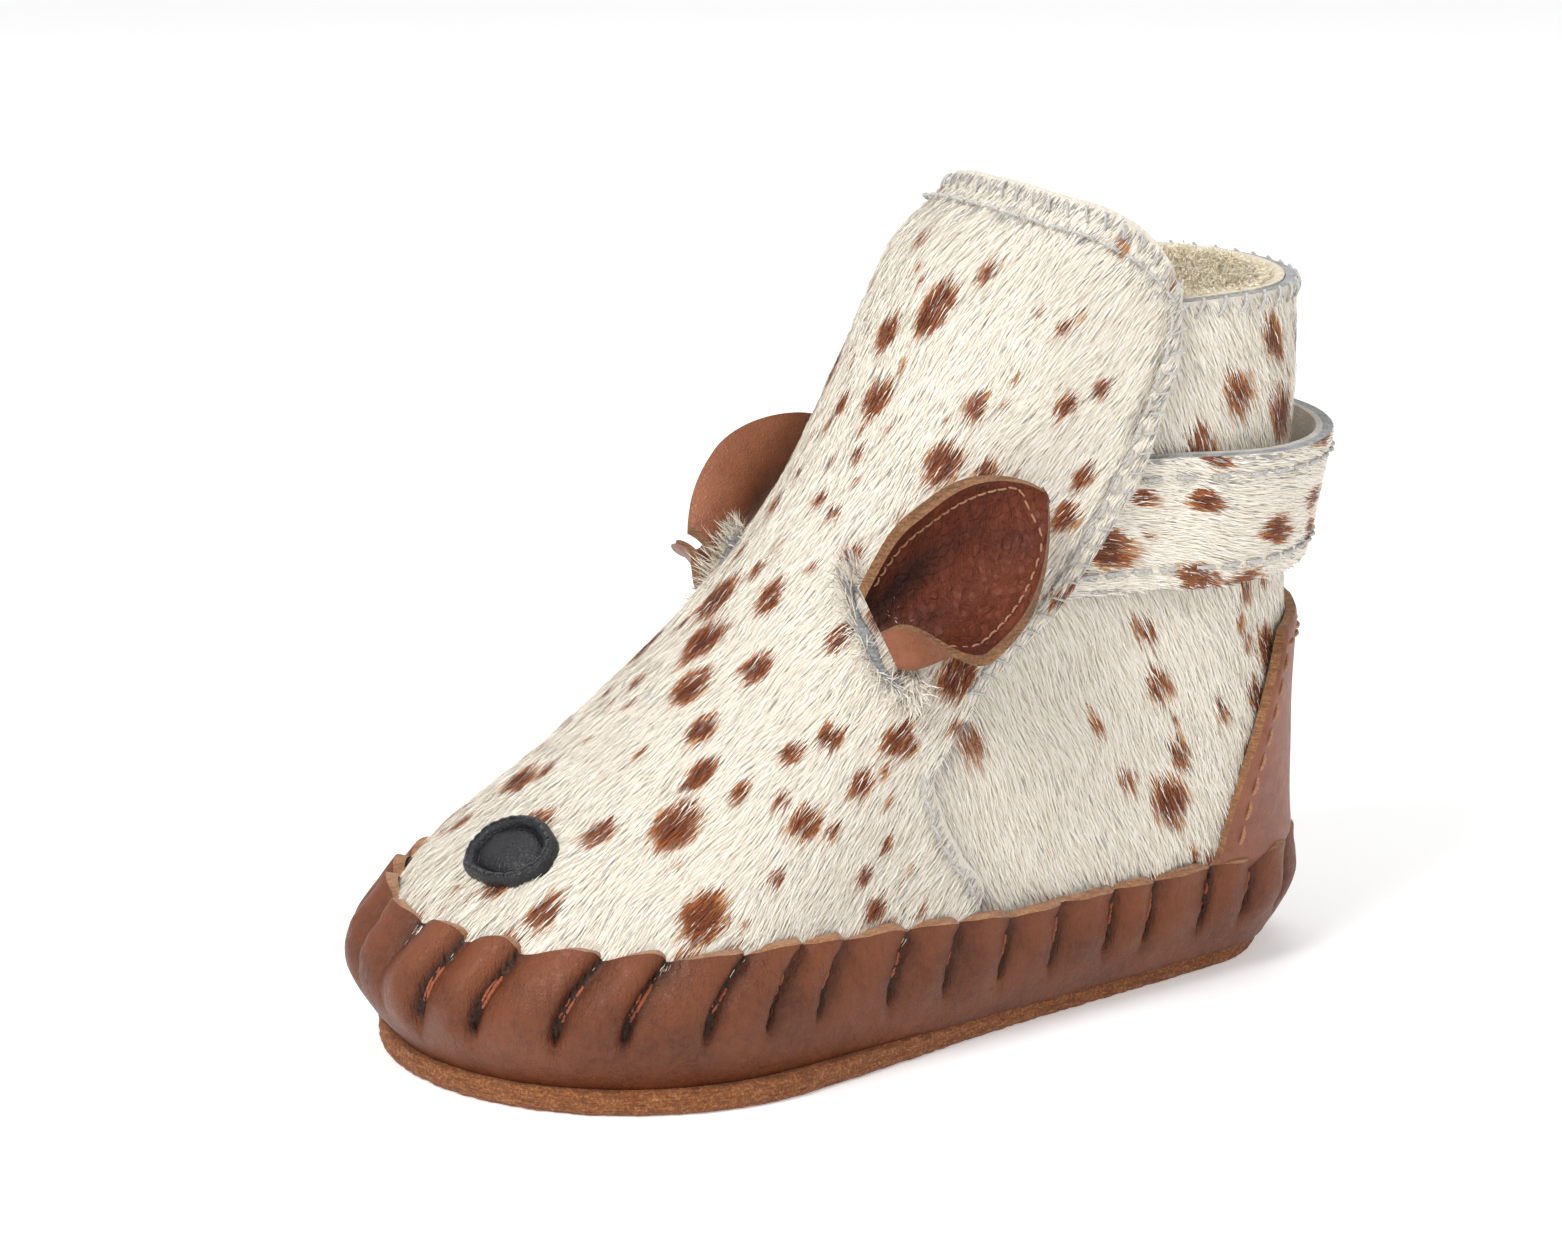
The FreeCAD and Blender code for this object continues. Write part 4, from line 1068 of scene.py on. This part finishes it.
def build_nose():
    # from the middle out: share of the way to the outline, and rise
    profile = [(0.02, 1.62), (0.15, 1.60), (0.30, 1.52), (0.44, 1.36), (0.56, 1.12), (0.64, 0.85),
               (0.685, 0.52), (0.70, 0.35), (0.715, 0.60), (0.74, 1.15), (0.78, 1.62), (0.83, 1.92),
               (0.885, 2.00), (0.935, 1.90), (0.975, 1.62), (0.995, 1.15), (1.0, 0.6), (0.99, -1.2)]
    angle = np.linspace(0, 2 * math.pi, 128, endpoint=False)
    rings = []
    for share, rise in profile:
        ring = nose_point(angle, share, rise)
        crumple = (0.10 if share < 0.66 else 0.12) * lumps(ring, 1.6) + 0.05 * lumps(ring, 0.6)
        rings.append(ring + np.multiply.outer(crumple, nose_axes()[3]))
    middles = nose_point(0.0, 0.0, np.array([profile[0][1], profile[-1][1]]))
    piece = capped_rings("nose_leather_oval", rings, middles, [BLACK], turned=True)
    finish_piece(piece, "nose_leather", ["nose"], body="shoe")


# ---------------------------------------------------------------- ears
EAR_STEPS = 20      # short steps in which the curve across an ear is added up
SEAM_DEPTH, EAR_THICK, EAR_THREAD_DEPTH = 0.76, 1.56, 1.64


def ear_axes(side):
    """The middle of an ear's root, and unit vectors along its slit, along the ear and out."""
    upper, lower = on_ring(side * 0.150, 57.0), on_ring(side * 0.272, 46.4)
    slit = unit(lower - upper)
    out = frame_at(side * 0.208, 51.7)[2]
    leaf = unit(np.cross(out, slit)) * side
    out = unit(np.cross(slit, leaf)) * side
    return (upper + lower) / 2 + out * 1.0, slit, leaf, out


def ear_point(side, s, r, depth):
    """A point of the leaf: s from root to tip, r from -1 to 1 across it, depth through it.

    The upper half is bent up as an arc; the lower half is folded over at the root."""
    root, slit, leaf, out = ear_axes(side)
    lift, length, width, root_width, lean = math.radians(9.0), 25.5, 20.5, 12.0, 7.0
    belly = width / 2 * np.sin(math.pi * (0.16 + 0.84 * np.minimum(s, 1.0))) ** 0.70
    half = np.maximum(np.maximum(root_width / 2 * (1 - s) ** 2, belly), 0.9)
    half = half * np.where(r < 0, 1.42 - 0.26 * s, 1.80 - 0.52 * ease(s, 0, 0.4) - 0.06 * s)
    bend = np.where(r < 0, 1.75 - 0.25 * ease(s, 0, 0.35) - 0.85 * ease(s, 0.35, 1.0),
                    2.75 - 1.95 * ease(s, 0.02, 0.42) - 0.6 * ease(s, 0.42, 1.0))
    fold = np.where(r < 0, 0.0, 1 - ease(s, 0.05, 0.45))

    def angle_at(share):
        return bend * (fold * ease(share, 0.30, 0.72) + (1 - fold) * share)
    angle = angle_at(np.abs(r))
    walk = [angle_at(np.abs(r) * (k + 0.5) / EAR_STEPS) for k in range(EAR_STEPS)]
    reach = half * r * np.mean(np.cos(walk), axis=0)
    rise = half * np.abs(r) * np.mean(np.sin(walk), axis=0)
    run = length * s
    centre = (root + np.multiply.outer(run * math.cos(lift), leaf)
              + np.multiply.outer(run * math.sin(lift), out))
    face = leaf * -math.sin(lift) + out * math.cos(lift)
    sideways = reach - np.sin(angle) * np.sign(r) * depth - lean * s * s
    upward = rise + np.cos(angle) * depth
    return centre + np.multiply.outer(sideways, slit) + np.multiply.outer(upward, face)


def build_ears():
    for name, side in (("ear_lateral", 1), ("ear_medial", -1)):
        r, s = unit_grid(91, 91)
        r = 2 * r - 1
        base = ear_point(side, s, r, 0.0)
        pebbles = 0.09 * lumps(base, 1.3) + 0.04 * lumps(base, 0.6, 4.0) + 0.25 * lumps(base, 5.0)
        near_edge = ease(np.minimum(1 - np.abs(r), 1 - s), 0, 0.08)
        back = ear_point(side, s, r, 0.06 * lumps(base, 4.0) * near_edge)
        inset = 1 - 0.022 * ease(np.abs(r), 0.9, 1.0)
        seam = ear_point(side, s * 0.988, r * inset, SEAM_DEPTH)
        front = ear_point(side, s, r, EAR_THICK + pebbles * near_edge)
        outer = shell(name + "_back_leaf", seam, back, [EAR_BACK, EAR_EDGE, EAR_BACK])
        finish_piece(outer, "ear_leather", [name + "_outer"], body=name)
        inner = shell(name + "_front_leaf", seam, front, [EAR_FRONT, EAR_EDGE, EAR_FRONT])
        # Painted shade: darker in the valley between the ear's raised wall and its floor, and
        # across the root.
        valley = np.exp(-((r + 0.40) / 0.27) ** 2) * (1 - ease(s, 0.20, 0.80))
        valley = np.maximum(valley, (1 - ease(s, 0.0, 0.25)) * ease(-r, -0.3, 0.2))
        paint(inner, "painted_crease_shade", np.zeros(valley.size), 0.88 * valley)
        finish_piece(inner, "ear_lining_leather", [name + "_inner"], body=name)


def slit_lips():
    """The cut lips of the slit round each ear's root, with stray white hairs."""
    steps, round_steps, number = 72, 10, 900
    angle = np.linspace(0, 2 * math.pi, steps, endpoint=False)
    for name, side in (("slit_lip_lateral", 1), ("slit_lip_medial", -1)):
        root, slit, leaf, out = ear_axes(side)
        low = root - out * 0.75
        path = low + np.multiply.outer(7.6 * np.cos(angle), slit) + np.multiply.outer(
            0.9 * np.sin(angle) - 0.8, leaf)
        away = unit(path - low)
        thick = (1.25 + 0.3 * lumps(path, 2.0)) * (1 - 0.5 * np.maximum(np.sin(angle), 0))
        rings = [path + away * (thick * math.cos(roll))[:, None]
                 + np.multiply.outer(0.6 * thick * math.sin(roll), out)
                 for roll in 2 * math.pi * np.arange(round_steps) / round_steps]
        faces = grid_faces(round_steps, steps, close_rows=True, close_columns=True)
        piece = new_mesh(name, np.concatenate(rings), [HIDE_EDGE], faces)
        finish_piece(piece, "hair_hide", [], body="tongue")
        pick = rng.uniform(0, 2 * math.pi, number)
        around = (np.multiply.outer(np.cos(pick), slit) * 7.9
                  + np.multiply.outer(np.sin(pick), leaf) * 2.3)
        roots = low + around * rng.uniform(0.9, 1.25, number)[:, None] + out * 0.2
        flow = unit(around / 8 + rng.normal(0, 0.55, (number, 3)) - leaf * 0.3)
        piece = hairs(name + "_hairs", roots, flow, out, 2.6, 0.25, 0.0, rise=0.45)
        finish_piece(piece, "hair_hide", [], body="tongue")


# ---------------------------------------------------------------- threads
def threads(name, middles, ways, outs, length, radius, material, arch=0.5, plies=2.0, sink=0.4):
    """Twisted threads, each an arch that dives into the leather at both ends."""
    steps, sides = 13, 8
    f = np.linspace(-1, 1, steps)
    roll = np.linspace(0, 2 * math.pi, sides, endpoint=False)
    points, quads, triangles = [], [], []
    for middle, way, out in zip(middles, ways, outs):
        side = unit(np.cross(out, way))
        way = unit(np.cross(side, out))
        line = (middle + np.multiply.outer(f * length / 2, way)
                + np.multiply.outer(arch * (1 - np.abs(f) ** 2.5) - sink, out))
        tangent = unit(np.gradient(line, axis=0))
        lift = unit(np.cross(side[None], tangent))
        twist = plies * math.pi * f
        swell = radius * (1 + 0.22 * np.cos(2 * (roll[None] - twist[:, None])))
        ring = (line[:, None] + side * (swell * np.cos(roll))[..., None]
                + lift[:, None] * -(swell * np.sin(roll))[..., None])
        start = sum(len(p) for p in points)
        points.append(ring.reshape(-1, 3))
        quads.append(grid_faces(steps, sides, start, close_columns=True))
        for row, turn_round in ((0, 1), (steps - 1, -1)):
            corner = start + row * sides + np.arange(sides)[::turn_round]
            triangles += [(corner[0], corner[k + 1], corner[k]) for k in range(1, sides - 1)]
    return new_mesh(name, np.concatenate(points), [material], np.concatenate(quads), triangles)


def spaced(where, pitch):
    """Points, directions and outward normals, evenly spaced along where(f).

    where(f) gives a turn, a height and a depth for each f from 0 to 1."""
    f = np.linspace(0, 1, 600)
    line = place(*where(f))
    runs = np.concatenate([[0], np.cumsum(np.linalg.norm(np.diff(line, axis=0), axis=1))])
    count = max(2, int(runs[-1] / pitch))
    marks = np.interp((np.arange(count) + 0.5) / count * runs[-1], runs, f)
    here = place(*where(marks))
    return here, unit(place(*where(marks + 0.001)) - here), frame_at(*where(marks)[:2])[2]


def up_over_down(f, corner):
    """Up one side until f = corner, over the top, and down: how far over, and how far up."""
    return (np.interp(f, [corner, 1 - corner], [0, 1]),
            np.interp(f, [0, corner, 1 - corner, 1], [0, 1, 1, 0]))


def sew(name, rows, pitch, length, radius, material, nodes, whip=None, body=None, across=None,
        **shape):
    """Stitches along each row, a where(f), as one piece. Whip turns them across the row."""
    found = [spaced(row, pitch) for row in rows]
    middles, ways, outs = (np.concatenate(part) for part in zip(*found))
    if whip:
        way_over, lean = whip
        ways = unit(way_over * np.cross(outs, ways) + lean * ways)
    piece = threads(name, middles, ways, outs, length, radius, material, **shape)
    finish_piece(piece, "thread", nodes, body=body, across=across)


def build_upper_threads():
    # short threads across the vamp's rear edge
    for name, side, nodes in (("side_seam_thread_lateral", 1, ["side_seam_stitches"]),
                              ("side_seam_thread_medial", -1, [])):
        def seam(f, side=side):
            height = 19 + f * 17
            return side * (edge_turn(height) - 0.018), height, 0.9
        sew(name, [seam], 3.0, 2.3, 0.24, GREY_THREAD, nodes, body="shoe")

    # round the tongue's free edge: a line of stitches, and whips over the edge
    def tongue_line(inset):
        def where(f):
            over, up = up_over_down(f, 0.37)
            u, v = 1 - inset / 2 - (1 - inset) * over, 0.42 + (0.58 - 0.7 * inset) * up
            turn, height = front_place(u, v)
            return turn, height, front_lift(u, v, turn, height) + 1.0
        return where
    sew("tongue_edge_thread", [tongue_line(0.058)], 3.4, 2.4, 0.21, GREY_THREAD,
        ["tongue_edge_stitches"], body="tongue", arch=0.4)
    sew("tongue_whip_thread", [tongue_line(0.022)], 2.6, 2.2, 0.15, GREY_THREAD, [],
        whip=(-1, 0.45), body="tongue", arch=0.3, sink=0.75)

    def collar(f):
        turn = 0.485 + f * 1.03
        return turn, COLLAR - 0.9, quarter_outer(turn) + 0.3
    sew("collar_whip_thread", [collar], 3.3, 2.6, 0.2, GREY_THREAD, ["collar_stitches"],
        whip=(1, 0.5), body="shoe")

    def counter_line(f):
        over, up = up_over_down(f, 0.40)
        across, v = 0.93 - 1.86 * over, 0.22 + 0.71 * up
        return *counter_place((across + 1) / 2, v), 0.5 * v ** 2 + 1.95
    sew("counter_thread", [counter_line], 3.2, 2.4, 0.24, TAN_THREAD, ["counter_stitches"],
        body="shoe", arch=0.4)


def build_strap_threads():
    """A row of stitches along either edge of the strap."""
    split = 0.14      # share of the strap's length where its free part begins
    for name, first, last, node in (
            ("strap_root_thread", 0.02, split, "strap_root_stitches"),
            ("strap_end_thread", split + 0.01, 0.985, "strap_end_stitches")):
        def row(v, first=first, last=last):
            def where(f):
                turn, height = strap_place(first + f * (last - first), v)
                return turn, height, (strap_base(turn, height) + strap_stand(turn, v)
                                      + STRAP_LINING + STRAP_HIDE + 0.45)
            return where
        sew(name, [row(0.15), row(0.85)], 3.5, 2.6, 0.24, GREY_THREAD, [node], across=STRAP_BEND)


def build_ear_threads():
    over, up = up_over_down(np.linspace(0.02, 0.98, 38), 0.45)
    s, r, step = 0.05 + 0.84 * up, -0.8 + 1.6 * over, 0.004
    for name, side in (("ear_lateral", 1), ("ear_medial", -1)):
        here = ear_point(side, s, r, EAR_THREAD_DEPTH)
        ways = unit(np.gradient(here, axis=0))
        along_s = ear_point(side, s + step, r, EAR_THREAD_DEPTH) - here
        along_r = ear_point(side, s, r + step, EAR_THREAD_DEPTH) - here
        outs = unit(np.cross(along_r, along_s)) * side
        piece = threads(name + "_thread", here, ways, outs, 1.15, 0.14, TAN_THREAD, arch=0.25,
                        sink=0.2)
        finish_piece(piece, "tan_thread", [name + "_stitches"], body=name)


def build_nose_threads():
    """A ring of small threads on the crest of the nose's rim."""
    angle, share, rise = np.linspace(0, 2 * math.pi, 24, endpoint=False), 0.87, 2.05
    here = nose_point(angle, share, rise)
    ways = unit(nose_point(angle + 0.02, share, rise) - here)
    outs = np.broadcast_to(nose_axes()[3], here.shape)
    piece = threads("nose_thread", here, ways, outs, 1.1, 0.15, BLACK_THREAD, arch=0.22, sink=0.15)
    finish_piece(piece, "black_thread", ["nose_stitches"], body="shoe")


def build_cup_threads():
    """Two thick threads side by side in each groove, from its hole up over the cup's edge."""
    v, apart = 0.76, 0.0022
    start = np.repeat(PLEAT_STARTS % 2, 2)
    shift = np.tile([-apart, apart], PLEATS)
    lean = pleat_lean(start)
    turn = (start - lean * (1 - v) + shift) % 2
    height = CUP_FOOT + v * (cup_top(turn) - 1.6 - CUP_FOOT)
    here = place(turn, height, 0.08 + 40 * shift)
    ways = unit(place((turn + lean * 0.1) % 2, height + 2, 0.75) - here)
    piece = threads("cup_thread", here, ways, frame_at(turn, height)[2], 5.6, 0.28, RUST_THREAD,
                    arch=0.7, plies=4.0, sink=0.5)
    finish_piece(piece, "rust_thread", ["cup_stitches"], body="shoe")


# ---------------------------------------------------------------- camera, floor and light
def point_at(thing, target):
    thing.rotation_euler = (Vector(target) - thing.location).to_track_quat("-Z", "Y").to_euler()


def seen_from(turn, rise, distance):
    """A point at an azimuth and an elevation, in degrees, as seen from the origin."""
    turn, rise = math.radians(turn), math.radians(rise)
    return distance * Vector((math.sin(turn) * math.cos(rise), -math.cos(turn) * math.cos(rise),
                              math.sin(rise)))


def build_camera():
    data = bpy.data.cameras.new("camera")
    data.lens, data.sensor_width = 111.5, 36.0
    data.clip_start, data.clip_end = 0.01, 20
    camera = bpy.data.objects.new("camera", data)
    bpy.context.scene.collection.objects.link(camera)
    target = Vector((0.0025, -0.0114, 0.0500))
    camera.location = target + seen_from(VIEW_TURN, 14.2, 0.600)
    point_at(camera, target)
    bpy.context.scene.camera = camera


def softbox(name, turn, rise, distance, size, power):
    data = bpy.data.lights.new(name, "AREA")
    data.shape, data.size, data.energy = "DISK", size, power
    lamp = bpy.data.objects.new(name, data)
    lamp.location = seen_from(turn, rise, distance)
    bpy.context.scene.collection.objects.link(lamp)
    point_at(lamp, (0, 0, 0.05))


def build_studio():
    side = 4.0
    floor = bpy.data.meshes.new("floor")
    floor.from_pydata([(-side, -side, 0), (side, -side, 0), (side, side, 0), (-side, side, 0)], [],
                      [(0, 1, 2, 3)])
    paper = Recipe("floor_paper", 0.75, Emission_Color=(1, 1, 1, 1), Emission_Strength=0.26)
    paper.colour(paper.ramp(paper.noise(0.004, 3), [(0.3, 0.86), (0.7, 0.90)]))
    floor.materials.append(paper.material)
    floor = bpy.data.objects.new("floor", floor)
    bpy.context.scene.collection.objects.link(floor)
    world = bpy.data.worlds.new("studio")
    bpy.context.scene.world = world
    bpy.context.scene.view_settings.view_transform = "Standard"
    world.use_nodes = True
    world.node_tree.nodes["Background"].inputs["Color"].default_value = (1, 1, 1, 1)
    world.node_tree.nodes["Background"].inputs["Strength"].default_value = 0.58
    softbox("key", VIEW_TURN - 40, 48, 1.1, 0.50, 8.6)
    softbox("fill", VIEW_TURN + 48, 30, 1.2, 0.8, 2.2)
    softbox("top", VIEW_TURN + 180, 65, 1.2, 0.7, 3.4)


def dress_hidden_board():
    """The insole board stays as the CAD made it, inside the cup."""
    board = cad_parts["insole_board"]
    board.data.materials.clear()
    board.data.materials.append(BOARD)


build_camera()
build_studio()
build_sole()
build_cup()
build_cup_threads()
build_footbed()
build_quarter()
quarter_fur()
build_quarter_lining()
fleece_pile()
build_vamp_lining()
build_front()
front_fur()
build_tongue_lining()
build_strap()
strap_fur()
build_patches()
build_counter()
build_nose()
build_ears()
slit_lips()
build_upper_threads()
build_strap_threads()
build_ear_threads()
build_nose_threads()
dress_hidden_board()
